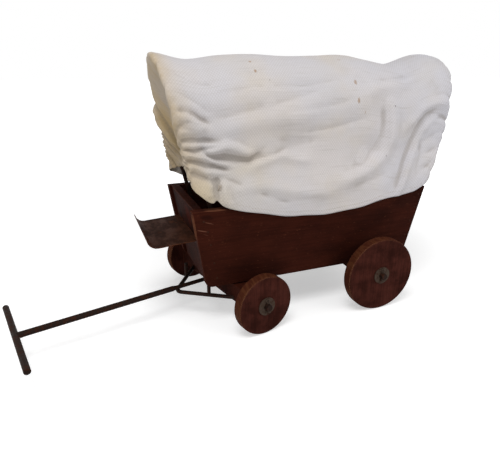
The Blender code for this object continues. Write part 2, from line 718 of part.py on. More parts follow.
def make_front_gear(iron, wood, parent):
    middle = Vector((-AXLE_AHEAD, 0, FRONT_WHEEL_RADIUS))
    bottom = FRONT_WHEEL_RADIUS - FRONT_BLOCK_BELOW_AXLE
    top = BOX_BOTTOM - GAP - TURN_PLATE - RUNNING_GAP
    bm = notched_block(
        FRONT_BLOCK_HALF, bottom, top, middle.z, True, block_half_length(), middle.x
    )
    block = piece("front_axle_block", bm, wood, parent)
    hole = spindle(
        [(BOLT_RADIUS + RUNNING_GAP, bottom - BOARD), (BOLT_RADIUS + RUNNING_GAP, top + BOARD)],
        ROD_STEPS,
        "Z",
    )
    cut(block, hole, "bolt hole in block")
    make_axle("front", iron, parent, middle)
    make_drawbar(iron, parent)


def make_rear_gear(iron, wood, parent):
    middle = Vector((REAR_AXLE_X, 0, REAR_WHEEL_RADIUS))
    bottom = REAR_WHEEL_RADIUS - REAR_BLOCK_BELOW_AXLE
    bm = notched_block(
        REAR_BLOCK_HALF, bottom, BOX_BOTTOM - GAP, middle.z, False, block_half_length(), middle.x
    )
    piece("rear_axle_block", bm, wood, parent)
    make_axle("rear", iron, parent, middle)


def centre_over_origin(carrier):
    """Moves the finished wagon so that its bounding box is centred on the origin."""
    bpy.context.view_layer.update()
    graph = bpy.context.evaluated_depsgraph_get()
    low, high = Vector((math.inf,) * 2), Vector((-math.inf,) * 2)
    for obj in bpy.context.scene.objects:
        if obj.type not in ("MESH", "CURVE") or obj.hide_render:
            continue
        evaluated = obj.evaluated_get(graph)
        mesh = evaluated.to_mesh()
        for vertex in mesh.vertices:
            place = evaluated.matrix_world @ vertex.co
            for axis in (0, 1):
                low[axis] = min(low[axis], place[axis])
                high[axis] = max(high[axis], place[axis])
        evaluated.to_mesh_clear()
    middle = (low + high) / 2
    carrier.location = (-middle.x, -middle.y, 0)
    bpy.context.view_layer.update()


def main():
    clear_scene()
    painted_wood = paint("red_brown_painted_wood", (0.045, 0.012, 0.009), 0.55, 0.0)
    wheel_wood = paint("red_brown_wheel_wood", (0.055, 0.016, 0.012), 0.6, 0.0)
    bare_iron = paint("dark_iron", (0.03, 0.02, 0.018), 0.55, 0.6)
    sheet_iron = paint("painted_sheet_iron", (0.05, 0.022, 0.016), 0.5, 0.3)
    cotton = paint("unbleached_cotton", (0.68, 0.64, 0.58), 0.9, 0.0)

    wagon = empty("wagon", (0, 0, 0))
    make_box(painted_wood, wagon)
    make_footboard(sheet_iron, wagon)
    make_bows(bare_iron, wagon)
    make_cover(cotton, wagon)
    make_king_bolt(bare_iron, wagon)
    make_rear_gear(bare_iron, painted_wood, wagon)

    steering = empty("steering", (0, 0, 0), wagon, math.radians(STEER_AT_REST_DEG))
    make_front_gear(bare_iron, painted_wood, steering)

    for side, sign in (("left", -1), ("right", 1)):
        front = empty(
            f"hub_front_{side}", (-AXLE_AHEAD, wheel_middle(sign), FRONT_WHEEL_RADIUS), steering
        )
        make_wheel(f"wheel_front_{side}", FRONT_WHEEL_RADIUS, wheel_wood, front)
        rear = empty(f"hub_rear_{side}", (REAR_AXLE_X, wheel_middle(sign), REAR_WHEEL_RADIUS), wagon)
        make_wheel(f"wheel_rear_{side}", REAR_WHEEL_RADIUS, wheel_wood, rear)

    centre_over_origin(wagon)


main()
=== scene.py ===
"""Looks of a child's pull-along covered wagon: red-brown painted boards and wheels, rusted iron
drawbar and axles, and an old cotton cover gathered over four bows.

Sizes in the tables are in millimetres in the wagon's own frame, where the king bolt stands on the
Z axis, the front is -X and the left side is -Y. One step moves them to where the frame stands.
"""
import math

import bpy
import numpy as np
from bpy.props import FloatProperty, FloatVectorProperty, IntProperty, PointerProperty
from mathutils import Matrix, Vector


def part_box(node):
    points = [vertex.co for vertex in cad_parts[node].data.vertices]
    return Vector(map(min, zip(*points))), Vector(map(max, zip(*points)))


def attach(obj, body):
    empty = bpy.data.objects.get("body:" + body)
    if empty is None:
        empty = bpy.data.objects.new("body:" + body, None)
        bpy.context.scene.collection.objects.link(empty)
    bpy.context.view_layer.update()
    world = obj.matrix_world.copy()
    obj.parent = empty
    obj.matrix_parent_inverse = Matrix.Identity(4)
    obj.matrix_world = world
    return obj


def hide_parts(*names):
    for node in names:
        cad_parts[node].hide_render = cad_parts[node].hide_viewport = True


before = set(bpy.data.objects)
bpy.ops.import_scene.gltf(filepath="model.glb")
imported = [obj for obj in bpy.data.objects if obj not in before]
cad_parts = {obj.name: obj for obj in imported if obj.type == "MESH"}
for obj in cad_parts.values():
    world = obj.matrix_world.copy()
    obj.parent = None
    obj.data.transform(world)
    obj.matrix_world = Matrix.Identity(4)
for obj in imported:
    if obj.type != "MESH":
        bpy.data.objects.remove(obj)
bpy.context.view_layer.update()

bl_info = {
    "name": "Toy covered wagon",
    "version": (1, 0, 0),
    "blender": (4, 5, 0),
    "location": "3D View > Sidebar > Wagon",
    "description": "Dresses the wagon's frame with cloth, paint, rust, nails and pins",
    "category": "Object",
}

MM = 0.001
BOLT = sum(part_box("king_bolt"), Vector()) / 2
BOLT_XY = np.array([BOLT.x, BOLT.y, 0.0])
ROOT = "wagon_box"
GEAR = "front_gear"
WHEELS = ("wheel_front_left", "wheel_front_right", "wheel_rear_left", "wheel_rear_right")
# Turn of the front gear at rest, as the photo shows it
STEER = math.radians(12.4)


def srgb(text):
    """A hex colour as it looks, turned into the linear values that a shader takes."""
    parts = [int(text[i:i + 2], 16) / 255 for i in (1, 3, 5)]
    return tuple(c / 12.92 if c <= 0.04045 else ((c + 0.055) / 1.055) ** 2.4 for c in parts)


# Settings that a user would change

def colour_setting(name, description, hex_text):
    """A colour setting."""
    return FloatVectorProperty(name=name, description=description, subtype="COLOR", size=3,
                               default=srgb(hex_text))


def length_setting(name, description, size):
    """A length setting, its size in millimetres."""
    return FloatProperty(name=name, description=description, default=size * MM, unit="LENGTH")


class CoverSettings(bpy.types.PropertyGroup):
    """The cotton cover."""

    thickness: length_setting("Cloth", "Thickness of the cotton", 0.5)
    hem: length_setting("Hem", "Width of the turned hem", 11)
    fold_depth: FloatProperty(name="Fold depth", description="Strength of the gathers and folds",
                              default=1.75, min=0.0, max=2.0)
    rows_along: IntProperty(name="Rows", description="Rows of points along the wagon", default=196)
    rows_round: IntProperty(name="Columns", description="Points round each row", default=230)
    cloth: colour_setting("Cotton", "Aged cotton", "#D2CCCA")
    warm: colour_setting("Warm cotton", "Yellowed cotton", "#CDBFA4")
    cool: colour_setting("Cool cotton", "Greyer, washed cotton", "#D3D2DA")
    stain: colour_setting("Rust stain", "Rust marks in the cloth", "#9A7650")


class WoodSettings(bpy.types.PropertyGroup):
    """The painted boards and wheels."""

    paint: colour_setting("Box paint", "Old red-brown paint", "#3A180F")
    paint_dark: colour_setting("Dark paint", "Grimed paint", "#1F0B07")
    worn: colour_setting("Worn paint", "Wood showing through", "#6B3F2B")
    wheel: colour_setting("Wheel paint", "Paint on the wheels' faces", "#45211A")
    tread: colour_setting("Tread", "Bare, dirty wood of the treads", "#4C2A19")


class IronSettings(bpy.types.PropertyGroup):
    """Rods, washers, nails and the sheet footboard."""

    iron: colour_setting("Iron", "Dark iron rod", "#1F130E")
    rust: colour_setting("Rust", "Brown rust", "#341C12")
    washer: colour_setting("Washer", "Dull steel washers", "#42352C")
    nail_radius: length_setting("Nail head", "Radius of a nail's head", 2.3)
    nail_rise: length_setting("Nail rise", "How far a nail's head stands out", 0.7)
    pin_wire: length_setting("Pin wire", "Radius of a split pin's wire", 0.85)


class StageSettings(bpy.types.PropertyGroup):
    """Camera, floor and lamps."""

    key: FloatProperty(name="Key lamp", description="Power of the large lamp", default=18.0)
    front: FloatProperty(name="Front lamp", description="Power of the lamp in front", default=4.0)
    fill: FloatProperty(name="Fill lamp", description="Power of the filling lamp", default=9.0)
    sky: FloatProperty(name="Sky", description="Strength of the even light", default=0.43)


GROUPS = (
    ("wagon_cover", CoverSettings),
    ("wagon_wood", WoodSettings),
    ("wagon_iron", IronSettings),
    ("wagon_stage", StageSettings),
)


# Places: from the wagon's own frame to where the frame stands

def placed(points):
    """Millimetres in the wagon's own frame as metres in the scene."""
    return np.asarray(points, float) * MM + BOLT_XY


def steered(points):
    """Millimetres in the turned front gear's own frame, turned and placed."""
    c, s = math.cos(STEER), math.sin(STEER)
    p = np.atleast_2d(np.asarray(points, float))
    turned = np.stack([p[:, 0] * c - p[:, 1] * s, p[:, 0] * s + p[:, 1] * c, p[:, 2]], axis=1)
    return turned * MM + BOLT_XY


def mesh_object(name, points, faces, body):
    """A new mesh piece at the origin, riding on a body."""
    mesh = bpy.data.meshes.new(name)
    mesh.from_pydata([tuple(p) for p in points], [], [tuple(f) for f in faces])
    mesh.validate()
    obj = bpy.data.objects.new(name, mesh)
    bpy.context.scene.collection.objects.link(obj)
    mesh.shade_smooth()
    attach(obj, body)
    return obj


# Materials

SMOOTH = {"interpolation_type": "SMOOTHSTEP"}
COLOUR = {"data_type": "RGBA", "blend_type": "MIX"}


def add(tree, kind, settings=None, inputs=None):
    """Add a node: settings are its own properties, inputs, in order or by name or number, are
    values or (node, output) links."""
    node = tree.nodes.new(kind)
    if isinstance(inputs, list):
        inputs = dict(enumerate(inputs))
    for name, value in (settings or {}).items():
        setattr(node, name, value)
    for key, value in (inputs or {}).items():
        socket = node.inputs[key]
        if isinstance(value, tuple) and len(value) == 2 and hasattr(value[0], "outputs"):
            tree.links.new(value[0].outputs[value[1]], socket)
        elif isinstance(value, tuple) and len(value) == 3 and socket.type == "RGBA":
            socket.default_value = (*value, 1.0)
        else:
            socket.default_value = value
    return node


def new_material(name):
    """An empty material with its shader and output."""
    material = bpy.data.materials.new(name)
    material.use_nodes = True
    tree = material.node_tree
    tree.nodes.clear()
    shader = add(tree, "ShaderNodeBsdfPrincipled")
    output = add(tree, "ShaderNodeOutputMaterial")
    tree.links.new(shader.outputs[0], output.inputs[0])
    return material, tree, shader


def link(tree, node, output, shader, socket):
    """Join a node's output to one of the shader's sockets."""
    tree.links.new(node.outputs[output], shader.inputs[socket])


def tinted(tree, colour, tint, source, low, high, least=0.0, most=1.0):
    """A colour with a tint over it, whose share grows as a pattern goes from low to high."""
    share = add(tree, "ShaderNodeMapRange", SMOOTH, [source, low, high, least, most])
    return add(tree, "ShaderNodeMix", COLOUR, {0: (share, 0), 6: colour, 7: tint})


def surface(tree, shader, colour, rough, relief):
    """Join a colour to the shader, with a roughness and a relief drawn from patterns."""
    link(tree, *colour, shader, "Base Color")
    rough = add(tree, "ShaderNodeMapRange", SMOOTH, rough)
    link(tree, rough, 0, shader, "Roughness")
    height, strength, depth = relief
    bumps = add(tree, "ShaderNodeBump", None,
                {"Height": height, "Strength": strength, "Distance": depth})
    link(tree, bumps, "Normal", shader, "Normal")


def per_mm(*sizes):
    """A mapping's scale, from the sizes of a pattern's features in millimetres."""
    return tuple(1 / (size * MM) for size in sizes)


def grained(tree, coords, sizes, detail, rough, turn=(0, 0, 0), shift=(0, 0, 0)):
    """Noise in object coordinates whose features have the given three sizes in millimetres."""
    at = add(tree, "ShaderNodeMapping", None,
             {"Vector": (coords, "Object"), "Scale": per_mm(*sizes), "Rotation": turn,
              "Location": shift})
    return add(tree, "ShaderNodeTexNoise", None,
               {"Vector": (at, 0), "Scale": 1.0, "Detail": detail, "Roughness": rough})


def spotted(tree, colour, tint, where, ragged, edge, strength):
    """A colour with one mark on it. Where gives the coordinates, the mark's place in metres, its
    turn and its three radii in millimetres; the ragged pattern frays its edge."""
    coords, place, turn, radii = where
    away = add(tree, "ShaderNodeMapping", {"vector_type": "TEXTURE"},
               {"Vector": coords, "Location": place, "Rotation": turn,
                "Scale": tuple(radius * MM for radius in radii)})
    off = add(tree, "ShaderNodeVectorMath", {"operation": "LENGTH"}, {0: (away, 0)})
    frayed = add(tree, "ShaderNodeMath", {"operation": "ADD"}, [(off, "Value"), ragged])
    return tinted(tree, colour, tint, (frayed, 0), *edge, 0.0, strength)


def edge_wear(tree, radius, high):
    """1 on sharp outside edges within a radius, where paint is rubbed off."""
    bevel = add(tree, "ShaderNodeBevel", {"samples": 4}, {"Radius": radius})
    plain = add(tree, "ShaderNodeNewGeometry")
    gap = add(tree, "ShaderNodeVectorMath", {"operation": "DOT_PRODUCT"},
              {0: (bevel, "Normal"), 1: (plain, "True Normal")})
    turned = add(tree, "ShaderNodeMath", {"operation": "SUBTRACT"}, [1.0, (gap, "Value")])
    return add(tree, "ShaderNodeMapRange", SMOOTH, [(turned, 0), 0.02, high])


# Single marks in the paint: name, place, half length, reach across, half width, turn about the
# wagon's width in degrees, strength and colour
BOARD_MARKS = (
    ("long scratch", -79, -105, 198, 11, 60, 1.1, 18, 0.7, "#6B4536"),
    ("short scratch", -66, -105, 211, 10, 60, 1.0, 20, 0.6, "#6B4536"),
    ("fine scratch", -73, -105, 190, 6, 60, 0.8, 24, 0.5, "#5C3A2C"),
    ("rubbed front edge", -91.5, -105, 203, 30, 60, 1.5, 83, 0.6, "#6F4632"),
    ("rubbed top edge", -52, -105, 233, 22, 60, 1.8, 2, 0.55, "#6F4632"),
    ("dark patch", -70, -105, 222, 13, 60, 5.0, 10, 0.45, "#160807"),
)
PANEL_MARKS = (
    # the knot hole's near-black disc is painted shade inside a recessed hole
    ("knot hole painted shade", -83, 45, 186, 40, 6.5, 7.5, 0, 1.0, "#070302"),
    ("redder patch", -84, -30, 205, 40, 22, 22, 0, 0.5, "#4A1A10"),
)


# Brush-painted softwood, decades old: a thin red-brown coat gone dull, grain lines under it,
# bare rubbed arrises, and fine scratches along the grain.
def painted_wood(name, grain_turn, painted_shade, marks=()):
    wood = bpy.context.scene.wagon_wood
    material, tree, shader = new_material(name)
    coords = add(tree, "ShaderNodeTexCoord")
    # grain lines 3 mm wide and 80 mm long, clouds of 55 to 110 mm, scuffs of 2 to 6 mm
    grain = grained(tree, coords, (83.33, 3.03, 3.03), 5.0, 0.6, turn=grain_turn)
    cloud = grained(tree, coords, (111.1, 55.56, 55.56), 4.0, 0.55, turn=grain_turn)
    speck = grained(tree, coords, (6.25, 2.381, 2.381), 2.0, 0.5,
                    turn=grain_turn, shift=(3, 1, 2))
    # painted_shade raises the dark paint's share: painted shade on parts that lie in shade
    base = tinted(tree, tuple(wood.paint), tuple(wood.paint_dark), (cloud, "Fac"), 0.35, 0.68,
                  painted_shade, 0.75 + painted_shade)
    lined = tinted(tree, (base, 2), tuple(wood.paint_dark), (grain, "Fac"), 0.40, 0.62, 0.0, 0.30)
    scuffed = tinted(tree, (lined, 2), tuple(wood.worn), (speck, "Fac"), 0.66, 0.74, 0.0, 0.35)
    edge = edge_wear(tree, 1.6 * MM, 0.15)
    broken = add(tree, "ShaderNodeMapRange", SMOOTH, [(cloud, "Fac"), 0.38, 0.60, 0.2, 1.0])
    rubbed = add(tree, "ShaderNodeMath", {"operation": "MULTIPLY"}, [(edge, 0), (broken, 0)])
    final = add(tree, "ShaderNodeMix", COLOUR,
                {0: (rubbed, 0), 6: (scuffed, 2), 7: tuple(wood.worn)})
    for _, x, y, z, half_long, reach, half_wide, turn, strength, tint in marks:
        where = ((coords, "Object"), Vector(placed([(x, y, z)])[0]), (0, math.radians(turn), 0),
                 (half_long, reach, half_wide))
        final = spotted(tree, (final, 2), srgb(tint), where, (grain, "Fac"), (1.6, 1.15), strength)
    surface(tree, shader, (final, 2), [(grain, "Fac"), 0.3, 0.7, 0.68, 0.85],
            [(grain, "Fac"), 0.35, 0.5 * MM])
    shader.inputs["Specular IOR Level"].default_value = 0.03
    return material


# Turned wooden wheel: painted faces, a rubbed rim and a bare, dirty tread whose grain runs across
# the wheel's thickness.
def wheel_wood(name, centre, axle):
    wood = bpy.context.scene.wagon_wood
    material, tree, shader = new_material(name)
    coords = add(tree, "ShaderNodeTexCoord")
    facing = add(tree, "ShaderNodeVectorMath", {"operation": "DOT_PRODUCT"},
                 {0: (coords, "Normal"), 1: axle})
    flat = add(tree, "ShaderNodeMath", {"operation": "ABSOLUTE"}, [(facing, "Value")])
    face = add(tree, "ShaderNodeMapRange", SMOOTH, [(flat, 0), 0.55, 0.9])
    # grain 3 mm wide across the wheel, and clouds of 36 mm
    grain = grained(tree, coords, (3.333, 25, 83.33), 5.0, 0.6, shift=centre)
    cloud = grained(tree, coords, (35.71, 35.71, 35.71), 4.0, 0.6)
    paint = tinted(tree, tuple(wood.wheel), tuple(wood.paint_dark), (cloud, "Fac"), 0.36, 0.66,
                   0.0, 0.7)
    paint_lined = tinted(tree, (paint, 2), tuple(wood.paint_dark), (grain, "Fac"), 0.42, 0.62,
                         0.0, 0.35)
    bare = tinted(tree, tuple(wood.tread), tuple(wood.paint), (grain, "Fac"), 0.40, 0.58, 0.0,
                  0.8)
    side = add(tree, "ShaderNodeMix", COLOUR, {0: (face, 0), 6: (bare, 2), 7: (paint_lined, 2)})
    edge = edge_wear(tree, 2.0 * MM, 0.16)
    broken = add(tree, "ShaderNodeMapRange", SMOOTH, [(cloud, "Fac"), 0.36, 0.56, 0.35, 1.0])
    rubbed = add(tree, "ShaderNodeMath", {"operation": "MULTIPLY"}, [(edge, 0), (broken, 0)])
    final = add(tree, "ShaderNodeMix", COLOUR, {0: (rubbed, 0), 6: (side, 2), 7: srgb("#8A6248")})
    surface(tree, shader, (final, 2), [(cloud, "Fac"), 0.3, 0.7, 0.62, 0.8],
            [(grain, "Fac"), 0.45, 0.6 * MM])
    shader.inputs["Specular IOR Level"].default_value = 0.03
    return material


# Iron rod: forged skin gone dark brown, rust in patches, a little rubbed sheen.
def rusted_iron(name, base, rust_share=0.5, roughness=0.6, metallic=0.0):
    iron = bpy.context.scene.wagon_iron
    material, tree, shader = new_material(name)
    coords = add(tree, "ShaderNodeTexCoord")
    # rust in patches of 7 mm, and pitting of 1 mm
    patches = grained(tree, coords, (6.667, 6.667, 6.667), 5.0, 0.65)
    fine = grained(tree, coords, (1.1111, 1.1111, 1.1111), 2.0, 0.6)
    colour = tinted(tree, base, tuple(iron.rust), (patches, "Fac"), 0.62 - 0.3 * rust_share,
                    0.74 - 0.2 * rust_share)
    surface(tree, shader, (colour, 2),
            [(patches, "Fac"), 0.35, 0.65, roughness - 0.1, roughness + 0.2],
            [(fine, "Fac"), 0.4, 0.25 * MM])
    shader.inputs["Metallic"].default_value = metallic
    shader.inputs["Specular IOR Level"].default_value = 0.08
    return material


# Rust stains and dark specks in the cloth: name, place along, distance round from the crown,
# radius along, radius round, strength
STAINS = (
    ("bow mark upper", 33, -48, 3.0, 2.8, 0.65),
    ("bow mark lower", 36, -71, 2.8, 4.5, 0.70),
    ("crown mark", 214, -40, 5.0, 3.0, 0.25),
    ("rear bow mark", 228, -97, 3.4, 6.0, 0.6),
    ("rear bow mark two", 230, -131, 3.2, 6.0, 0.65),
    ("rear bow speck", 246, -152, 2.2, 3.5, 0.35),
    ("hem rust", 452, -170, 3.5, 5.0, 0.30),
)
SPECKS = (
    ("black speck", 312, -131, 1.5, 1.4, 0.95),
    ("small speck", 296, -228, 1.3, 1.3, 0.6),
    ("faint speck", 58, -90, 1.5, 1.5, 0.4),
)


# Old cotton duck: matt, yellowed in front and below, greyer behind, with a weave that shows,
# rust marks where it lies on the bows, and dirt in its hems; its creases are darkened by dirt
# and by painted shade.
def cotton(name):
    cover = bpy.context.scene.wagon_cover
    material, tree, shader = new_material(name)
    uv = add(tree, "ShaderNodeUVMap", {"uv_map": "cloth"})
    flat = add(tree, "ShaderNodeSeparateXYZ", None, {0: (uv, 0)})
    drift = add(tree, "ShaderNodeTexNoise", None,
                {"Vector": (uv, 0), "Scale": 1 / (142.9 * MM), "Detail": 4.0, "Roughness": 0.55})
    patch = add(tree, "ShaderNodeTexNoise", {"noise_dimensions": "4D"},
                {"Vector": (uv, 0), "W": 4.0, "Scale": 1 / (62.5 * MM), "Detail": 5.0,
                 "Roughness": 0.6})
    # greyer towards the rear, yellower towards the front hem
    behind = add(tree, "ShaderNodeMapRange", SMOOTH, [(flat, 0), 0.10, 0.50])
    cool_share = add(tree, "ShaderNodeMath", {"operation": "MULTIPLY"}, [(behind, 0), 0.75])
    cooled = add(tree, "ShaderNodeMix", COLOUR,
                 {0: (cool_share, 0), 6: tuple(cover.cloth), 7: tuple(cover.cool)})
    front = add(tree, "ShaderNodeMapRange", SMOOTH, [(flat, 0), 0.13, -0.10])
    low = add(tree, "ShaderNodeMapRange", SMOOTH, [(flat, 1), -0.13, -0.26])
    yellow = add(tree, "ShaderNodeMath", {"operation": "MULTIPLY"}, [(front, 0), (low, 0)])
    mottled = add(tree, "ShaderNodeMapRange", SMOOTH, [(drift, "Fac"), 0.46, 0.70, 0.0, 0.30])
    warm_sum = add(tree, "ShaderNodeMath", {"operation": "ADD"}, [(yellow, 0), (mottled, 0)])
    warm_share = add(tree, "ShaderNodeMath", {"operation": "MINIMUM"}, [(warm_sum, 0), 0.85])
    warmed = add(tree, "ShaderNodeMix", COLOUR,
                 {0: (warm_share, 0), 6: (cooled, 2), 7: tuple(cover.warm)})
    colour = tinted(tree, (warmed, 2), srgb("#AFA79C"), (patch, "Fac"), 0.50, 0.72, 0.0, 0.22)
    # washed-out bluish clouds, and thick threads that run along the cloth
    cloud = add(tree, "ShaderNodeTexNoise", {"noise_dimensions": "4D"},
                {"Vector": (uv, 0), "W": 7.0, "Scale": 1 / (166.7 * MM), "Detail": 3.0,
                 "Roughness": 0.5})
    colour = tinted(tree, (colour, 2), srgb("#C9C9D1"), (cloud, "Fac"), 0.42, 0.62, 0.0, 0.55)
    drawn = add(tree, "ShaderNodeMapping", None,
                {"Vector": (uv, 0), "Scale": (*per_mm(71.43, 3.333), 1)})
    slub = add(tree, "ShaderNodeTexNoise", None,
               {"Vector": (drawn, 0), "Scale": 1.0, "Detail": 3.0, "Roughness": 0.6})
    colour = tinted(tree, (colour, 2), srgb("#A9A39D"), (slub, "Fac"), 0.50, 0.75, 0.0, 0.30)
    wobble = add(tree, "ShaderNodeTexNoise", {"noise_dimensions": "4D"},
                 {"Vector": (uv, 0), "W": 9.0, "Scale": 1 / (3.846 * MM), "Detail": 3.0,
                  "Roughness": 0.6})
    for table, tint in ((STAINS, tuple(cover.stain)), (SPECKS, srgb("#3A332E"))):
        for _, x, d, along, round_, strength in table:
            where = ((uv, 0), (x * MM, d * MM, 0), (0, 0, 0), (along, round_, 1000))
            colour = spotted(tree, (colour, 2), tint, where, (wobble, "Fac"), (1.55, 1.05),
                             strength)
    # threads are 0.6 mm apart; drawn 4 mm apart so that the weave shows at this size, crossing
    # at 37 degrees each way; 0.314 is a band's width at a scale of 1
    bands = []
    for turn in (0.65, -0.65):
        laid = add(tree, "ShaderNodeMapping", None, {"Vector": (uv, 0), "Rotation": (0, 0, turn)})
        bands.append(add(tree, "ShaderNodeTexWave", {"wave_type": "BANDS"},
                         {"Vector": (laid, 0), "Scale": 0.314 / (4.0 * MM), "Distortion": 0.7,
                          "Detail": 2.0, "Detail Scale": 3.0}))
    weave = add(tree, "ShaderNodeMath", {"operation": "MULTIPLY"},
                [(bands[0], "Fac"), (bands[1], "Fac")])
    colour = tinted(tree, (colour, 2), srgb("#8F867E"), (weave, 0), 0.40, 0.05, 0.0, 0.20)
    # the drawn-in lips are the dirtiest and yellowest
    lip = add(tree, "ShaderNodeAttribute", {"attribute_name": "lip"})
    smudge = add(tree, "ShaderNodeMapRange", SMOOTH, [(patch, "Fac"), 0.35, 0.65, 0.5, 1.0])
    lip_share = add(tree, "ShaderNodeMath", {"operation": "MULTIPLY"}, [(lip, "Fac"), (smudge, 0)])
    colour = add(tree, "ShaderNodeMix", COLOUR,
                 {0: (lip_share, 0), 6: (colour, 2), 7: srgb("#B8A27C")})
    # dirt and painted shade: the cotton is darkened in the creases and under the folds
    crease = add(tree, "ShaderNodeAttribute", {"attribute_name": "crease"})
    colour = tinted(tree, (colour, 2), srgb("#877D72"), (crease, "Fac"), 0.4, 3.0, 0.0, 0.42)
    link(tree, colour, 2, shader, "Base Color")
    crumple = add(tree, "ShaderNodeTexNoise", {"noise_dimensions": "4D"},
                  {"Vector": (uv, 0), "W": 2.0, "Scale": 1 / (18.18 * MM), "Detail": 4.0,
                   "Roughness": 0.55})
    slack = add(tree, "ShaderNodeBump", None,
                {"Height": (crumple, "Fac"), "Strength": 0.35, "Distance": 2.2 * MM})
    relief = add(tree, "ShaderNodeBump", None,
                 {"Height": (weave, 0), "Strength": 0.40, "Distance": 0.5 * MM,
                  "Normal": (slack, "Normal")})
    link(tree, relief, "Normal", shader, "Normal")
    shader.inputs["Roughness"].default_value = 0.92
    shader.inputs["Specular IOR Level"].default_value = 0.15
    shader.inputs["Sheen Weight"].default_value = 0.12
    shader.inputs["Sheen Roughness"].default_value = 0.5
    return material


# Twisted cotton thread and tape: the duck's own colour, dirtier, matt.
def cotton_thread(name):
    material, tree, shader = new_material(name)
    coords = add(tree, "ShaderNodeTexCoord")
    # dirt in patches of 8 mm
    dirt = grained(tree, coords, (8.333, 8.333, 8.333), 3.0, 0.6)
    colour = tinted(tree, srgb("#C6BCB0"), srgb("#9C8F7E"), (dirt, "Fac"), 0.35, 0.65, 0.2, 0.9)
    link(tree, colour, 2, shader, "Base Color")
    shader.inputs["Roughness"].default_value = 0.95
    shader.inputs["Specular IOR Level"].default_value = 0.1
    return material


# Sheet iron painted with the box, its paint rubbed through to brown metal on edges and tray.
def painted_sheet(name):
    wood = bpy.context.scene.wagon_wood
    material, tree, shader = new_material(name)
    coords = add(tree, "ShaderNodeTexCoord")
    # worn and dark patches of 20 to 30 mm
    cloud = grained(tree, coords, (18.18, 33.33, 18.18), 6.0, 0.65)
    base = tinted(tree, srgb("#381B0C"), srgb("#241007"), (cloud, "Fac"), 0.38, 0.62)
    scuffed = tinted(tree, (base, 2), srgb("#4E2A18"), (cloud, "Fac"), 0.60, 0.70, 0.0, 0.5)
    edge = edge_wear(tree, 1.2 * MM, 0.2)
    final = add(tree, "ShaderNodeMix", COLOUR, {0: (edge, 0), 6: (scuffed, 2), 7: tuple(wood.worn)})
    surface(tree, shader, (final, 2), [(cloud, "Fac"), 0.35, 0.65, 0.55, 0.75],
            [(cloud, "Fac"), 0.25, 0.8 * MM])
    shader.inputs["Specular IOR Level"].default_value = 0.05
    return material


def assign(node_names, material):
    """Give CAD nodes a material through their slots."""
    for name in node_names:
        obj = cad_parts[name]
        if not obj.material_slots:
            obj.data.materials.append(material)
        for slot in obj.material_slots:
            slot.material = material


# The cotton cover

# The box, the cloth's reach over the boards and over the bows, and its knee above the boards,
# with the sizes that the frame has
BOX_TOP = 234.0
BOX_BOTTOM = 82.0
FRONT_TOP_X = -96.0
BOX_LENGTH = 494.0
HALF_TOP = 106.0
HALF_BOTTOM = 95.0
OVER_BOARD = 108.8
OVER_BOW = 91.8
BOW_SPRING = 395.0
KNEE = 3.3
# The bows: share of the box's top edge and lean; and the half width of the band over each where
# the cloth lies on it
BOWS = ((0.077, -0.235), (0.300, 0.0), (0.688, 0.0), (0.937, 0.20))
BOW_BAND = 14.0
# Height over the boards' top edge up to which the cloth lies on them
BOARD_BAND = 6.0
# How deep a fold may go under the smooth cloth, on a bow or board and between them, and the height
# from which folds are flattened
DEEPEST_LYING = -0.4
DEEPEST_FREE = -4.8
FLATTENED_FROM = 9.0
FLATTENED_SHARE = 0.7
# Lift of the cloth over the frame's cover, and a hem's second layer
COVER_LIFT = 0.8
SECOND_LAYER = 0.5
# Reach of the gathers from the front and the rear lip, and how far the lips' dirt goes in
FRONT_REACH = 44.0
REAR_REACH = 36.0
LIP_FROM = 38.0
LIP_FADE = 40.0
# Place of the far side's folds, moved along and weaker than the near side's
FAR_SHIFT = 9.0
FAR_SHARE = 0.8

# Stations along the cover, front lip to rear lip: share of the box's top edge, lean, skew, belly,
# hem height left and right, crown over the bows' line, share of the section left where it is
# drawn in
COVER_STATIONS = (
    (0.078, -0.190, 0.03, 0, 291, 278, -11.7, 0.62),
    (0.046, -0.190, 0.03, 0, 288, 271, -6.4, 0.81),
    (0.028, -0.190, 0.03, 0, 284, 265, -2.1, 0.95),
    (0.036, -0.205, 0.02, 0, 270, 258, 0, 1.0),
    (0.077, -0.235, 0.0, 0, 249, 249, 0, 1.0),
    (0.138, -0.175, 0.0, 0, 235, 235, -9, 1.0),
    (0.205, -0.080, 0.0, 0, 226, 226, -3, 1.0),
    (0.300, 0.0, 0.0, 0, 214, 214, 0, 1.0),
    (0.417, 0.0, 0.0, 0, 204, 204, -2, 1.0),
    (0.559, 0.0, 0.0, 0, 203, 203, -2, 1.0),
    (0.688, 0.0, 0.0, 0, 209, 209, 0, 1.0),
    (0.773, 0.04, 0.0, 0, 215, 215, -8, 1.0),
    (0.850, 0.12, 0.0, 0, 221, 221, -16, 1.0),
    (0.937, 0.20, 0.0, 2.1, 226, 226, 1.5, 1.0),
    (0.968, 0.29, 0.0, 12.7, 235.5, 235.5, 0, 1.0),
    (0.984, 0.35, 0.0, 20, 246, 246, -8.5, 0.96),
    (0.968, 0.34, 0.0, 19, 258, 258, -12.7, 0.82),
    (0.940, 0.32, 0.0, 17, 267.5, 267.5, -17, 0.66),
)

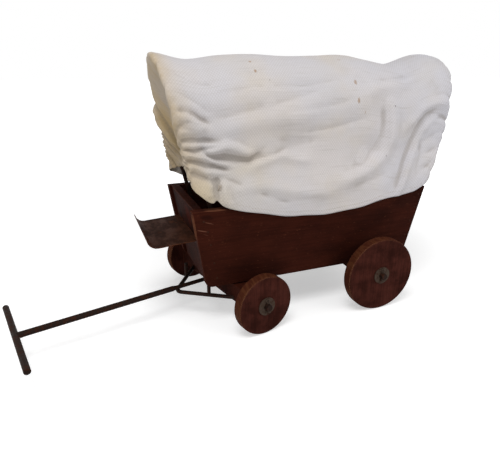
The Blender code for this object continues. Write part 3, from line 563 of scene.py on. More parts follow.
# Folds on the left side: kind, height, half width and the line they follow, each point given as
# place along the wagon and distance round the cloth from the crown
FOLDS = (
    ("front upper tuck", "tuck", 6, 5, ((-108, -140), (-101, -138), (-91, -138), (-81, -141),
      (-71, -147), (-58, -150))),
    ("front upper lobe", "roll", 5.5, 13, ((-108, -155), (-95, -149), (-78, -155), (-62, -162))),
    ("lobe pinch", "tuck", 2.2, 4, ((-112, -165), (-103, -160), (-89, -154))),
    ("second lobe", "roll", 3.5, 11, ((-109, -172), (-92, -170), (-72, -169))),
    ("second tuck", "tuck", 5.5, 4.5, ((-108, -185), (-96, -188), (-82, -186), (-65, -182),
      (-49, -180))),
    ("upper roll", "roll", 3.5, 6, ((-105, -195), (-86, -195), (-68, -189), (-49, -184))),
    ("upper roll tuck", "tuck", 4.5, 3.5, ((-105, -200), (-86, -204), (-73, -198), (-60, -193),
      (-44, -189))),
    ("long roll", "roll", 6, 8, ((-69, -201), (-51, -195), (-31, -191), (-13, -198), (5, -210),
      (20, -216))),
    ("long tuck", "tuck", 7, 5.5, ((-65, -207), (-52, -208), (-37, -208), (-22, -213), (-7, -218),
      (11, -221), (30, -218), (52, -216), (71, -209), (81, -200))),
    ("middle roll", "roll", 4.5, 6, ((-107, -208), (-86, -213), (-58, -215), (-37, -219),
      (-23, -225))),
    ("middle tuck", "tuck", 6, 4, ((-107, -216), (-87, -223), (-67, -226), (-52, -223),
      (-38, -226), (-26, -231))),
    ("lower roll", "roll", 4.5, 8, ((-99, -227), (-83, -235), (-66, -239), (-48, -236),
      (-34, -233))),
    ("lower tuck", "tuck", 5.5, 4.5, ((-96, -234), (-87, -241), (-75, -247), (-61, -250),
      (-51, -251))),
    ("tie pucker", "tuck", 5.5, 4.5, ((-48, -240), (-50, -251), (-50, -259), (-54, -270),
      (-54, -290))),
    ("tie left swell", "roll", 3, 8, ((-68, -258), (-68, -271), (-64, -283))),
    ("tie right swell", "roll", 3.5, 8, ((-33, -248), (-37, -264), (-35, -281), (-26, -298))),
    ("fan tuck", "tuck", 2, 4, ((-38, -241), (-21, -249), (-2, -264))),
    ("broad front valley", "tuck", 3, 16, ((-58, -143), (-20, -143), (24, -138), (81, -126),
      (162, -103))),
    ("broad front ridge", "roll", 3, 18, ((-47, -166), (6, -163), (71, -156), (149, -141))),
    ("middle hollow", "tuck", 3.5, 15, ((49, -210), (82, -203), (111, -200), (148, -195))),
    ("middle ridge", "roll", 3, 9, ((13, -239), (43, -229), (74, -221), (102, -228),
      (136, -234))),
    ("low middle tuck", "tuck", 1.8, 4, ((28, -281), (43, -289), (58, -298), (86, -305))),
    ("low middle ridge", "roll", 2, 10, ((-17, -266), (33, -271), (86, -283), (170, -294))),
    ("upper draw one", "tuck", 1.6, 7, ((-26, -107), (28, -101), (113, -99), (208, -86))),
    ("upper draw two", "tuck", 1.6, 7, ((80, -146), (149, -138), (222, -128))),
    ("upper draw three", "tuck", 1.5, 6, ((111, -182), (182, -175), (253, -163))),
    ("rear sweep", "roll", 5, 13, ((308, -128), (309, -160), (309, -191), (298, -224),
      (270, -249), (245, -265), (218, -274), (192, -278))),
    ("rear sweep hollow", "tuck", 2.6, 15, ((286, -128), (290, -164), (286, -191), (272, -217),
      (249, -238), (216, -254))),
    ("rear low hollow", "tuck", 1.6, 13, ((304, -255), (279, -270), (250, -281), (214, -289))),
    ("rear shoulder", "roll", 4, 13, ((252, -115), (288, -100), (340, -83), (378, -71))),
    ("rear shoulder hollow", "tuck", 1.6, 12, ((279, -89), (315, -78), (358, -63))),
    ("rear corner dimple", "tuck", 1.8, 13, ((401, -94), (408, -107), (414, -119))),
    ("rear hollow", "tuck", 4.2, 13, ((415, -150), (392, -166), (374, -185), (358, -214),
      (342, -239), (327, -270), (315, -298))),
    ("rear edge roll", "roll", 4, 10, ((406, -169), (384, -195), (367, -227), (349, -258),
      (335, -283), (322, -306))),
    ("rear upper roll", "roll", 3.5, 11, ((344, -170), (381, -149), (422, -141), (447, -135))),
    ("rear hem edge", "tuck", 2, 4, ((389, -188), (381, -212), (384, -241), (373, -267),
      (368, -293))),
    ("rear pucker one", "tuck", 1.8, 5, ((394, -246), (413, -233), (436, -221))),
    ("rear pucker two", "tuck", 1.8, 5, ((376, -278), (397, -266), (417, -250))),
    ("rear pucker three", "tuck", 1.6, 5, ((403, -209), (427, -198), (451, -187))),
    ("rear pucker four", "tuck", 1.6, 5, ((417, -173), (437, -166), (456, -159))),
    ("crown fold one", "tuck", 1.8, 7, ((-113, -69), (-80, -82), (-40, -89))),
    ("crown fold two", "tuck", 1.8, 6, ((-107, -109), (-77, -119), (-51, -135))),
)


def along_stations(count):
    """The stations' values at even steps along the cloth, on one smooth curve through them."""
    table = np.array(COVER_STATIONS)
    step = np.hypot(np.diff(table[:, 0]) * BOX_LENGTH, np.diff(table[:, 7]) * OVER_BOW)
    at = np.concatenate([[0], np.cumsum(step)])
    want = np.linspace(0, at[-1], count)
    slope = np.zeros_like(table)
    for i in range(len(at)):
        a, b = max(i - 1, 0), min(i + 1, len(at) - 1)
        slope[i] = (table[b] - table[a]) / (at[b] - at[a])
    k = np.clip(np.searchsorted(at, want, side="right") - 1, 0, len(at) - 2)
    h = (at[k + 1] - at[k])[:, None]
    t = ((want - at[k])[:, None]) / h
    return ((2 * t**3 - 3 * t**2 + 1) * table[k] + (t**3 - 2 * t**2 + t) * h * slope[k]
            + (3 * t**2 - 2 * t**3) * table[k + 1] + (t**3 - t**2) * h * slope[k + 1]), want


def hem_wave(x, side):
    """Unevenness of the hem: slow waves, and on the left the notch where a tie gathers it."""
    rise = 0.9 * math.sin(x / 13.0 + side) + 0.8 * math.sin(x / 31.0 + 2 * side)
    if side < 0:
        rise += 7.5 * math.exp(-(((x + 51) / 4.5) ** 2)) - 2.5 * math.exp(-(((x + 66) / 9) ** 2))
    return rise


def cover_grid(rows, columns):
    """Points of the cover's outer face, with each point's place along and distance round."""
    stations, run = along_stations(rows)
    grid = np.zeros((rows, columns, 3))
    round_ = np.zeros((rows, columns))
    for i, (share, lean, skew, belly, hem_left, hem_right, crown, drawn) in enumerate(stations):
        radius = OVER_BOW * drawn
        spring = BOW_SPRING + crown
        quarter = math.pi / 2 * radius
        for side, hem, cols in ((-1, hem_left, slice(0, columns // 2)),
                                (1, hem_right, slice(columns // 2, columns))):
            n = len(range(*cols.indices(columns)))
            place = FRONT_TOP_X + BOX_LENGTH * share
            hem = hem + hem_wave(place + 3 * side, side)
            d = np.linspace(0, 1, n + 1)[:n] if side < 0 else np.linspace(0, 1, n)
            d = 1 - d if side < 0 else d
            d = d * (quarter + spring - hem)
            arc = np.minimum(d, quarter)
            y = radius * np.sin(arc / radius)
            z = spring + radius * np.cos(arc / radius)
            leg = d > quarter
            z[leg] = spring - (d[leg] - quarter)
            knee = max(BOX_TOP + 0.8, hem) + KNEE
            share_up = np.clip((z[leg] - knee) / (spring - knee), 0, 1)
            ease = np.minimum(1, 1.8 * share_up)
            ease = ease * ease * (3 - 2 * ease)
            y[leg] = (OVER_BOARD + (OVER_BOW - OVER_BOARD) * ease) * drawn
            y = y * side
            up = np.clip((z - BOX_TOP) / (BOW_SPRING - BOX_TOP), 0, 1)
            x = FRONT_TOP_X + BOX_LENGTH * share + lean * (z - BOX_TOP) + skew * y
            x += 4 * up * (1 - up) * belly
            grid[i, cols] = np.stack([x, y, z], axis=1)
            round_[i, cols] = side * d
    return grid, round_, run


def normals_of(grid):
    """Outward normals of a grid of points."""
    along = np.gradient(grid, axis=0)
    across = np.gradient(grid, axis=1)
    n = np.cross(along, across)
    return n / np.linalg.norm(n, axis=2, keepdims=True)


def distance_to_line(x, d, line):
    """Distance of points from a line, and how far along it they are, 0 to 1."""
    p = np.array(line, float)
    lengths = np.hypot(*(p[1:] - p[:-1]).T)
    total, best, where, passed = lengths.sum(), np.full(x.shape, 1e9), np.zeros(x.shape), 0.0
    for a, b, length in zip(p[:-1], p[1:], lengths):
        ux, ud = (b - a) / length
        t = np.clip((x - a[0]) * ux + (d - a[1]) * ud, 0, length)
        away = np.hypot(x - a[0] - t * ux, d - a[1] - t * ud)
        closer = away < best
        best = np.where(closer, away, best)
        where = np.where(closer, (passed + t) / total, where)
        passed += length
    return best, where


def fold_height(x, d, mirror):
    """Height of the folds over the smooth cloth, on the left side (1) or the right (-1)."""
    height = np.zeros(x.shape)
    for _, kind, size, width, line in FOLDS:
        away, where = distance_to_line(x, mirror * d, line)
        taper = np.minimum(1, 5 * np.minimum(where, 1 - where) + 0.35)
        if kind == "roll":
            height += size * taper * np.exp(-((away / width) ** 2))
        else:
            height -= size * taper * np.exp(-np.abs(away / width) ** 1.25)
    return height


WAVE_SEED = 5
WAVE_COUNT = 14
WAVE_HEIGHT = 0.7


def waves(x, d):
    """Slow unevenness of slack cloth, from waves 28 to 120 mm long, mostly along the wagon."""
    rng = np.random.default_rng(WAVE_SEED)
    out = np.zeros(x.shape)
    for _ in range(WAVE_COUNT):
        length = rng.uniform(28, 120)
        angle = rng.normal(0.15, 0.5)
        phase = rng.uniform(0, 2 * math.pi)
        out += np.sin((x * math.sin(angle) + d * math.cos(angle)) * 2 * math.pi / length + phase)
    return out * WAVE_HEIGHT / WAVE_COUNT ** 0.5


def blurred(height, reach):
    """A grid of heights, averaged over a square of neighbours."""
    padded = np.pad(height, reach, mode="edge")
    summed = np.cumsum(np.cumsum(padded, axis=0), axis=1)
    summed = np.pad(summed, ((1, 0), (1, 0)))
    size = 2 * reach + 1
    total = summed[size:, size:] - summed[:-size, size:]
    total = total - summed[size:, :-size] + summed[:-size, :-size]
    return total / size**2


# Gathers of the drawn-in lips: distance round from the crown, left negative, and their strength
FRONT_GATHERS = ((-236, 1.0), (-205, 0.8), (-171, 1.1), (-128, 0.7), (-92, 0.8), (-48, 0.9),
                 (-12, 0.7), (26, 0.6), (58, 0.5), (94, 0.6), (131, 0.5), (189, 0.6), (246, 0.5))
REAR_GATHERS = ((-262, 1.0), (-240, 0.7), (-214, 1.1), (-190, 0.8), (-161, 1.0), (-126, 0.8),
                (-88, 0.9), (-51, 0.7), (-9, 0.8), (33, 0.9), (69, 0.8), (104, 1.0), (139, 0.9),
                (170, 0.8), (201, 1.1), (232, 0.8), (258, 1.0))


def gathers(d, from_end, table, reach):
    """Pinched creases with slack between them, running back from a drawn-in edge."""
    depth = np.zeros(d.shape)
    for at, strength in table:
        wander = at + 4 * np.sin(from_end / 17 + at)
        away = np.abs(d - wander)
        fade = np.exp(-(((from_end - reach) / (0.5 * reach * strength)) ** 2))
        depth -= 3.4 * strength * fade * np.exp(-((away / 5.0) ** 1.2))
    return depth + 1.2 * np.exp(-(((from_end - reach) / (0.6 * reach)) ** 2))


def cover_heights(grid, d, run, settings):
    """Heights of the cloth over the smooth cover, and each point's distance from its hem."""
    x, z = grid[:, :, 0], grid[:, :, 2]
    height = settings.fold_depth * np.where(
        d < 0, fold_height(x, d, 1), FAR_SHARE * fold_height(x + FAR_SHIFT, d, -1))
    height += waves(x, d) + COVER_LIFT
    height += gathers(d, run[:, None] + 0 * d, FRONT_GATHERS, FRONT_REACH)
    height += gathers(d, run[-1] - run[:, None] + 0 * d, REAR_GATHERS, REAR_REACH)
    # the hem's double cloth
    from_low = np.minimum(np.abs(d - d[:, :1]), np.abs(d - d[:, -1:]))
    hem = settings.hem / MM
    double = 1 / (1 + np.exp((from_low - hem) / 0.8))
    height += SECOND_LAYER * double
    # over the boards and the bows the cloth can't sink
    on_bow = np.zeros(x.shape, bool)
    for share, lean in BOWS:
        away = np.abs(x - FRONT_TOP_X - BOX_LENGTH * share - lean * (z - BOX_TOP))
        on_bow |= away < BOW_BAND
    lying = (z < BOX_TOP + BOARD_BAND) | on_bow
    floor = np.where(lying, DEEPEST_LYING, DEEPEST_FREE)
    for _ in range(3):
        floor = np.minimum(blurred(floor, 2), np.where(lying, DEEPEST_LYING, 0))
    height = np.maximum(height, floor)
    height = height - FLATTENED_SHARE * np.maximum(height - FLATTENED_FROM, 0)
    return np.maximum(0.75 * height + 0.25 * blurred(height, 1), floor), from_low


def make_cover():
    """The cover's mesh with its material, its outer points, and their distance from the hem."""
    settings = bpy.context.scene.wagon_cover
    rows, columns = settings.rows_along, settings.rows_round
    grid, d, run = cover_grid(rows, columns)
    x = grid[:, :, 0]
    height, from_low = cover_heights(grid, d, run, settings)
    # how far the cloth lies below its neighbours: darkens the cotton in creases, as dirt and
    # painted shade
    crease = np.maximum(blurred(height, 4) - height, 0)
    points = grid + normals_of(grid) * height[:, :, None]
    count = rows * columns
    flat = points.reshape(count, 3)
    index = np.arange(count).reshape(rows, columns)
    a, b = index[:-1, :-1].ravel(), index[1:, :-1].ravel()
    c, e = index[1:, 1:].ravel(), index[:-1, 1:].ravel()
    faces = np.stack([a, b, c, e], axis=1)
    obj = mesh_object("cotton_cover", placed(flat), faces, ROOT)
    mesh = obj.data
    layer = mesh.uv_layers.new(name="cloth")
    uv = np.stack([x.ravel(), d.ravel()], axis=1) * MM
    corner = np.zeros(len(mesh.loops), np.int64)
    mesh.loops.foreach_get("vertex_index", corner)
    layer.data.foreach_set("uv", uv[corner].astype(np.float32).ravel())
    lip = np.clip(1 - (run[:, None] - LIP_FROM) / LIP_FADE, 0, 1) + 0 * d
    for name, values in (("crease", crease), ("lip", lip)):
        layer = mesh.attributes.new(name, "FLOAT", "POINT")
        layer.data.foreach_set("value", values.astype(np.float32).ravel())
    solid = obj.modifiers.new("thickness", "SOLIDIFY")
    solid.thickness = settings.thickness
    solid.offset = -1
    solid.use_rim = True
    made = bpy.data.meshes.new_from_object(obj.evaluated_get(bpy.context.evaluated_depsgraph_get()))
    obj.modifiers.clear()
    obj.data = made
    obj.data.materials.clear()
    obj.data.materials.append(cotton("unbleached_cotton_duck"))
    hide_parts("canvas_cover")
    return obj, points, from_low


def tube(path, radius):
    """Points and faces of a round wire along a path, closed at both ends."""
    path = np.asarray(path, float)
    along = np.gradient(path, axis=0)
    along /= np.linalg.norm(along, axis=1, keepdims=True)
    across = np.cross(along[0], (0.3, 0.5, 0.8))
    sides = 8
    points = []
    for place, way in zip(path, along):
        across = across - way * (across @ way)
        across /= np.linalg.norm(across)
        other = np.cross(way, across)
        for k in range(sides):
            turn = 2 * math.pi * k / sides
            points.append(place + radius * (math.cos(turn) * across + math.sin(turn) * other))
    faces = []
    for i in range(len(path) - 1):
        for k in range(sides):
            a, b = i * sides + k, i * sides + (k + 1) % sides
            faces.append((a, b, b + sides, a + sides))
    last = (len(path) - 1) * sides
    faces.append(tuple(range(sides))[::-1])
    faces.append(tuple(last + k for k in range(sides)))
    return np.array(points), faces


def repeated(name, places, facing, along, sizes, material, body):
    """Small rounded heads set on points by Geometry Nodes, made into one mesh."""
    tree = bpy.data.node_groups.new(name + "_rows", "GeometryNodeTree")
    tree.interface.new_socket("Geometry", in_out="INPUT", socket_type="NodeSocketGeometry")
    for label in sizes:
        tree.interface.new_socket(label, in_out="INPUT", socket_type="NodeSocketFloat")
    tree.interface.new_socket("Geometry", in_out="OUTPUT", socket_type="NodeSocketGeometry")
    group = add(tree, "NodeGroupInput")
    head = add(tree, "GeometryNodeMeshUVSphere", None, {"Segments": 8, "Rings": 5, "Radius": 1.0})
    shape = add(tree, "ShaderNodeCombineXYZ", None,
                {"X": (group, "Half length"), "Y": (group, "Half width"), "Z": (group, "Rise")})
    pressed = add(tree, "GeometryNodeTransform", None,
                  {"Geometry": (head, "Mesh"), "Scale": (shape, 0)})
    out = add(tree, "GeometryNodeInputNamedAttribute", {"data_type": "FLOAT_VECTOR"},
              {"Name": "facing"})
    way = add(tree, "GeometryNodeInputNamedAttribute", {"data_type": "FLOAT_VECTOR"},
              {"Name": "along"})
    stood = add(tree, "FunctionNodeAlignRotationToVector", {"axis": "Z"},
                {"Vector": (out, "Attribute")})
    laid = add(tree, "FunctionNodeAlignRotationToVector", {"axis": "X", "pivot_axis": "Z"},
               {"Rotation": (stood, 0), "Vector": (way, "Attribute")})
    vary = add(tree, "FunctionNodeRandomValue", {"data_type": "FLOAT"},
               {2: (group, "Smallest"), 3: 1.0, "Seed": 7})
    points = add(tree, "GeometryNodeMeshToPoints", None, {"Mesh": (group, "Geometry")})
    heads = add(tree, "GeometryNodeInstanceOnPoints", None,
                {"Points": (points, 0), "Instance": (pressed, 0), "Rotation": (laid, 0),
                 "Scale": (vary, 1)})
    real = add(tree, "GeometryNodeRealizeInstances", None, {"Geometry": (heads, 0)})
    painted = add(tree, "GeometryNodeSetMaterial", None,
                  {"Geometry": (real, 0), "Material": material})
    end = add(tree, "NodeGroupOutput")
    tree.links.new(painted.outputs[0], end.inputs[0])

    mesh = bpy.data.meshes.new(name)
    mesh.from_pydata([tuple(p) for p in places], [], [])
    for label, values in (("facing", facing), ("along", along)):
        layer = mesh.attributes.new(label, "FLOAT_VECTOR", "POINT")
        layer.data.foreach_set("vector", np.asarray(values, np.float32).ravel())
    obj = bpy.data.objects.new(name, mesh)
    bpy.context.scene.collection.objects.link(obj)
    rows = obj.modifiers.new("rows", "NODES")
    rows.node_group = tree
    for item in tree.interface.items_tree:
        if item.in_out == "INPUT" and item.name in sizes:
            rows[item.identifier] = sizes[item.name]
    made = bpy.data.meshes.new_from_object(obj.evaluated_get(bpy.context.evaluated_depsgraph_get()))
    obj.modifiers.clear()
    obj.data = made
    made.shade_smooth()
    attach(obj, body)
    return obj


# Place of the tie's knot on the near side
KNOT_AT = (-49.0, -106.0, 276.0)


class WAGON_OT_cover(bpy.types.Operator):
    """Make the gathered cotton cover"""

    bl_idname = "wagon.cover"
    bl_label = "Cotton cover"

    def execute(self, context):
        obj, points, from_low = make_cover()
        # one stitch every second row of the mesh, 1.5 mm inside the hem's fold
        line = context.scene.wagon_cover.hem / MM - 1.5
        normals = normals_of(points)
        places, facing, along = [], [], []
        half = points.shape[1] // 2
        for i in range(2, len(points) - 2, 2):
            for low in (0, half):
                j = low + int(np.argmin(np.abs(from_low[i, low:low + half] - line)))
                places.append(placed(points[i, j] + 0.2 * normals[i, j]))
                facing.append(normals[i, j])
                along.append(points[i + 1, j] - points[i - 1, j])
        stitches = repeated("hem_stitches", places, facing, along,
                            {"Half length": 1.7 * MM, "Half width": 0.35 * MM, "Rise": 0.3 * MM,
                             "Smallest": 0.8}, cotton_thread("cotton_thread"), ROOT)
        knot = self.tie_knot(points, normals)
        return {"FINISHED"}

    def tie_knot(self, points, normals):
        """The knotted end of the drawn-in lip's tie, with two short tails."""
        away = np.linalg.norm(points - np.array(KNOT_AT), axis=2)
        i, j = np.unravel_index(int(np.argmin(away)), away.shape)
        at, out = points[i, j], normals[i, j]
        along = np.cross(out, (0.0, 0.0, 1.0))
        along /= np.linalg.norm(along)
        up = np.cross(along, out)
        path = [at - 8 * up + 1.2 * out + 2.6 * along, at - 5 * up + 1.8 * out + 1.6 * along]
        for t in np.linspace(0.3, 2 * math.pi - 0.3, 36):
            reach = 1.7 * (1 + 0.45 * math.cos(3 * t))
            path.append(at + (1.9 + 0.9 * math.sin(3 * t)) * out
                        + reach * (math.sin(2 * t) * along + math.cos(2 * t) * up))
        path += [at - 5 * up + 1.8 * out - 1.5 * along, at - 7 * up + 1.2 * out - 2.4 * along]
        made, faces = tube(path, 0.9)
        knot = mesh_object("tie_knot", placed(made), faces, ROOT)
        knot.data.materials.append(cotton_thread("knotted_cotton_tape"))
        return knot


class WAGON_OT_split_pins(bpy.types.Operator):
    """Bend the four split pins that hold the wheels on"""

    bl_idname = "wagon.split_pins"
    bl_label = "Split pins"

    def execute(self, context):
        iron = context.scene.wagon_iron
        wire = iron.pin_wire / MM
        steel = rusted_iron("dull_steel_pin", tuple(iron.washer), 0.3, 0.5)
        eye = [(3.0 * math.sin(a), 12.6 - 3.0 * math.cos(a)) for a in np.linspace(-0.35, -5.93, 20)]
        leg = [(-6.4, -12.4), (-4.2, -12.3), (-2.2, -11.7), (-1.0, -10.2), (-wire, -8.6),
               (-wire, 8.6)]
        outline = leg + eye + [(-x, z) for x, z in reversed(leg)]
        for end, body, turn in (("rear", ROOT, 0.0), ("front", GEAR, STEER)):
            for side in ("left", "right"):
                node = end + "_split_pin_" + side
                low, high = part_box(node)
                centre = np.array((low + high) / 2)
                way = np.array([math.cos(turn), math.sin(turn), 0.0])
                path = [centre + MM * (x * way + np.array([0.0, 0.0, z])) for x, z in outline]
                made, faces = tube(path, iron.pin_wire)
                pin = mesh_object("bent_" + node, made, faces, body)
                pin.data.materials.append(steel)
                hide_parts(node)
        return {"FINISHED"}


# Nails in each side board, a row into each end panel: place along, height
NAILS = ((-76, 215), (-69, 195), (-64, 169), (-58, 132), (-53, 100),
         (384, 218), (379, 190), (373, 160), (367, 128), (361, 98))


class WAGON_OT_nails(bpy.types.Operator):
    """Drive the nails through the side boards into the end panels"""

    bl_idname = "wagon.nails"
    bl_label = "Nails"

    def execute(self, context):
        iron = context.scene.wagon_iron
        places, facing, along = [], [], []
        for side in (-1, 1):
            for x, z in NAILS:
                slope = (HALF_TOP - HALF_BOTTOM) / (BOX_TOP - BOX_BOTTOM)
                places.append(placed((x, side * (HALF_BOTTOM + slope * (z - BOX_BOTTOM)), z)))
                facing.append((0.0, side, -slope))
                along.append((1.0, 0.0, 0.0))
        nails = repeated("board_nails", places, facing, along,
                         {"Half length": iron.nail_radius, "Half width": iron.nail_radius,
                          "Rise": iron.nail_rise, "Smallest": 0.85},
                         rusted_iron("rusted_nail_head", tuple(iron.rust), 0.6, 0.7), ROOT)
        return {"FINISHED"}


# The drawbar's joint, from the frame's sizes
HANDLE_X = -404.0
HANDLE_Z = 53.0
SHAFT_RADIUS = 5.4
BEAD_REACH = 3.0
BEAD_LENGTH = 5.0


class WAGON_OT_welds(bpy.types.Operator):
    """Lay the weld bead where the drawbar's shaft meets its handle"""

    bl_idname = "wagon.welds"
    bl_label = "Weld bead"

    def execute(self, context):
        iron = context.scene.wagon_iron
        sides, steps = 24, 7
        points = []
        for i in range(steps):
            t = i / (steps - 1)
            for k in range(sides):
                turn = 2 * math.pi * k / sides
                lumpy = 1 + 0.05 * (1 - t) * math.sin(5 * turn + 1)
                y = (SHAFT_RADIUS + 0.1 + BEAD_REACH * (1 - t) ** 2) * math.cos(turn) * lumpy
                z = (SHAFT_RADIUS + 0.1 - 0.5 * (1 - t)) * math.sin(turn)
                round_bar = math.sqrt(max(SHAFT_RADIUS**2 - z * z, 0.0)) - 0.3
                x = HANDLE_X + round_bar * (1 - t) + (SHAFT_RADIUS + BEAD_LENGTH) * t
                points.append((x, y, HANDLE_Z + z))
        faces = []
        for i in range(steps - 1):
            for k in range(sides):
                a, b = i * sides + k, i * sides + (k + 1) % sides
                faces.append((a, b, b + sides, a + sides))
        faces.append(tuple(reversed(range(sides))))
        faces.append(tuple((steps - 1) * sides + k for k in range(sides)))
        bead = mesh_object("handle_weld", steered(points), faces, GEAR)
        bead.data.materials.append(rusted_iron("rusted_weld_bead", tuple(iron.iron)))
        return {"FINISHED"}


# Finishes of the frame's own solids

RODS = ("bow_front", "bow_mid_front", "bow_mid_rear", "bow_rear", "drawbar_handle",
        "drawbar_shaft", "yoke", "yoke_peg_left", "yoke_peg_right", "front_axle", "rear_axle",
        "king_bolt", "turn_plate")


class WAGON_OT_finishes(bpy.types.Operator):
    """Paint the boards and wheels, and rust the iron"""

    bl_idname = "wagon.finishes"
    bl_label = "Paint and iron"

    def execute(self, context):
        iron = context.scene.wagon_iron
        across = (0, 0, math.pi / 2)
        assign(("side_board_left", "side_board_right"),
               painted_wood("painted_side_boards", (0, 0, 0), 0.0, BOARD_MARKS))
        # the end panels, floor and axle blocks get darker paint than the side boards: painted shade
        assign(("front_panel", "rear_panel"),
               painted_wood("painted_end_panels", across, 0.25, PANEL_MARKS))
        assign(("floor_board",), painted_wood("painted_floor", (0, 0, 0), 0.2))
        assign(("front_axle_block", "rear_axle_block"),
               painted_wood("painted_axle_blocks", across, 0.2))
        for name in WHEELS:
            low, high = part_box(name)
            angle = STEER if "front" in name else 0.0
            axle = (math.sin(angle), -math.cos(angle), 0.0)
            assign((name,), wheel_wood("painted_" + name, (low + high) / 2, axle))
        assign(RODS, rusted_iron("rusted_iron_rod", tuple(iron.iron)))
        washers = [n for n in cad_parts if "washer" in n]
        assign(washers, rusted_iron("dull_steel_washer", tuple(iron.washer), 0.35, 0.55, 0.15))
        assign(("footboard",), painted_sheet("painted_sheet_iron"))
        return {"FINISHED"}


# Camera, floor and lamps

# The photo's camera as fitted to the wagon: place, angles in degrees, and focal length, centre and
# size of the picture in pixels
CAMERA_AT = (-267.5, -834.7, 476.2)
CAMERA_YAW = 22.507
CAMERA_PITCH = 20.312
CAMERA_ROLL = 0.282
CAMERA_FOCAL = 459.15
CAMERA_CENTRE = (263.16, 230.79)
PHOTO = (500, 457)
SENSOR = 36.0
NEAR_LIMIT = 0.02
# Half the floor's side and how far it lies under the wheels, in metres
FLOOR_HALF = 12.0
FLOOR_DROP = 0.0002
# Lamps: name, place and size in metres, and the setting that holds its power; they face AIM
LAMPS = (
    ("key_lamp", (-0.50, -0.85, 1.95), 1.0, "key"),
    ("fill_lamp", (1.3, -1.3, 0.9), 1.4, "fill"),
    ("front_lamp", (-1.7, -0.45, 0.75), 1.0, "front"),
)
AIM = Vector((0, 0, 0.22))


def straight_view(tree):
    """1 for what the camera sees, straight or in a gloss, and 0 for light that falls on things."""
    path = add(tree, "ShaderNodeLightPath")
    seen = add(tree, "ShaderNodeMath", {"operation": "MAXIMUM"},
               [(path, "Is Camera Ray"), (path, "Is Transmission Ray")])
    return add(tree, "ShaderNodeMath", {"operation": "MAXIMUM"},
               [(seen, 0), (path, "Is Glossy Ray")])


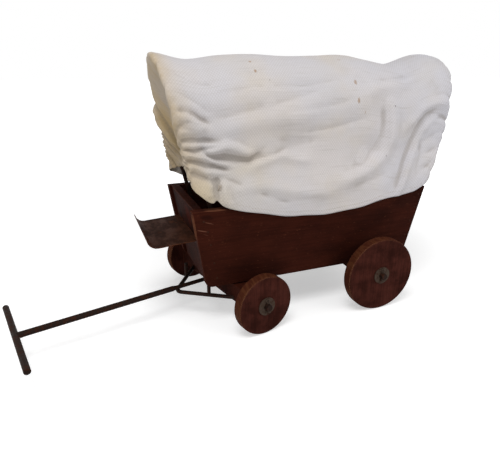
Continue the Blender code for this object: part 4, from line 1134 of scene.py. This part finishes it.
class WAGON_OT_stage(bpy.types.Operator):
    """Set the camera, the pale floor and the soft lamps"""

    bl_idname = "wagon.stage"
    bl_label = "Stage"

    def execute(self, context):
        scene = context.scene
        stage = scene.wagon_stage
        yaw, pitch, roll = (math.radians(v) for v in (CAMERA_YAW, CAMERA_PITCH, CAMERA_ROLL))
        ahead_flat = Vector((math.sin(yaw), math.cos(yaw), 0))
        up = Vector((0, 0, 1))
        right = Vector((math.cos(yaw), -math.sin(yaw), 0))
        forward = ahead_flat * math.cos(pitch) - up * math.sin(pitch)
        over = ahead_flat * math.sin(pitch) + up * math.cos(pitch)
        right, over = (right * math.cos(roll) + over * math.sin(roll),
                       over * math.cos(roll) - right * math.sin(roll))
        data = bpy.data.cameras.new("photo_camera")
        camera = bpy.data.objects.new("photo_camera", data)
        scene.collection.objects.link(camera)
        place = Vector(placed([CAMERA_AT])[0])
        columns = (right, over, -forward, place)
        camera.matrix_world = Matrix([[c[i] for c in columns] for i in range(3)] + [[0, 0, 0, 1]])
        data.sensor_width = SENSOR
        data.lens = CAMERA_FOCAL / PHOTO[0] * SENSOR
        data.shift_x = (PHOTO[0] / 2 - CAMERA_CENTRE[0]) / PHOTO[0]
        data.shift_y = (CAMERA_CENTRE[1] - PHOTO[1] / 2) / PHOTO[0]
        data.dof.use_dof = False
        data.clip_start = NEAR_LIMIT
        scene.camera = camera

        mesh = bpy.data.meshes.new("studio_floor")
        mesh.from_pydata([(x * FLOOR_HALF, y * FLOOR_HALF, 0)
                          for x, y in ((-1, -1), (1, -1), (1, 1), (-1, 1))], [], [(0, 1, 2, 3)])
        floor = bpy.data.objects.new("studio_floor", mesh)
        floor.location.z = -FLOOR_DROP
        scene.collection.objects.link(floor)
        mesh.materials.append(self.white_floor())

        world = bpy.data.worlds.new("studio_sky")
        scene.world = world
        world.use_nodes = True
        tree = world.node_tree
        tree.nodes.clear()
        seen = straight_view(tree)
        strength = add(tree, "ShaderNodeMapRange", None,
                       {"Value": (seen, 0), "To Min": stage.sky, "To Max": 1.0})
        sky = add(tree, "ShaderNodeBackground", None,
                  {"Color": (1.0, 1.0, 1.0), "Strength": (strength, 0)})
        out = add(tree, "ShaderNodeOutputWorld")
        tree.links.new(sky.outputs[0], out.inputs[0])

        for name, at, size, power in LAMPS:
            light = bpy.data.lights.new(name, "AREA")
            light.shape = "DISK"
            light.size = size
            light.energy = getattr(stage, power)
            lamp = bpy.data.objects.new(name, light)
            lamp.location = at
            lamp.rotation_euler = (AIM - Vector(at)).to_track_quat("-Z", "Y").to_euler()
            scene.collection.objects.link(lamp)
        scene.view_settings.view_transform = "Standard"
        return {"FINISHED"}

    def white_floor(self):
        """Matt white paper, lifted for the camera so that only shadows show on it."""
        material = bpy.data.materials.new("white_paper_floor")
        material.use_nodes = True
        tree = material.node_tree
        tree.nodes.clear()
        seen = straight_view(tree)
        paper = add(tree, "ShaderNodeBsdfDiffuse", None, {"Color": (0.80, 0.80, 0.80)})
        coords = add(tree, "ShaderNodeTexCoord")
        away = add(tree, "ShaderNodeVectorMath", {"operation": "LENGTH"}, {0: (coords, "Object")})
        whiter = add(tree, "ShaderNodeMapRange", SMOOTH, [(away, "Value"), 0.45, 1.3, 0.46, 1.0])
        lift = add(tree, "ShaderNodeMath", {"operation": "MULTIPLY"}, [(seen, 0), (whiter, 0)])
        glow = add(tree, "ShaderNodeEmission", None, {"Strength": (lift, 0)})
        both = add(tree, "ShaderNodeAddShader", None, {0: (paper, 0), 1: (glow, 0)})
        out = add(tree, "ShaderNodeOutputMaterial")
        tree.links.new(both.outputs[0], out.inputs[0])
        return material


class WAGON_PT_panel(bpy.types.Panel):
    """The wagon's steps in the sidebar"""

    bl_idname = "WAGON_PT_panel"
    bl_label = "Toy covered wagon"
    bl_space_type = "VIEW_3D"
    bl_region_type = "UI"
    bl_category = "Wagon"

    def draw(self, context):
        for operator in OPERATORS:
            self.layout.operator(operator.bl_idname)


OPERATORS = (WAGON_OT_finishes, WAGON_OT_cover, WAGON_OT_split_pins, WAGON_OT_nails, WAGON_OT_welds,
             WAGON_OT_stage)


def register():
    for name, group in GROUPS:
        bpy.utils.register_class(group)
        setattr(bpy.types.Scene, name, PointerProperty(type=group))
    for cls in OPERATORS + (WAGON_PT_panel,):
        bpy.utils.register_class(cls)


def unregister():
    for cls in reversed(OPERATORS + (WAGON_PT_panel,)):
        bpy.utils.unregister_class(cls)
    for name, group in reversed(GROUPS):
        delattr(bpy.types.Scene, name)
        bpy.utils.unregister_class(group)


def plain(bounds):
    """Bounds as plain lists of numbers."""
    return [[float(v) for v in corner] for corner in bounds]


def main():
    register()
    bpy.ops.wagon.finishes()
    bpy.ops.wagon.cover()
    bpy.ops.wagon.split_pins()
    bpy.ops.wagon.nails()
    bpy.ops.wagon.welds()
    bpy.ops.wagon.stage()


if __name__ == "__main__":
    main()
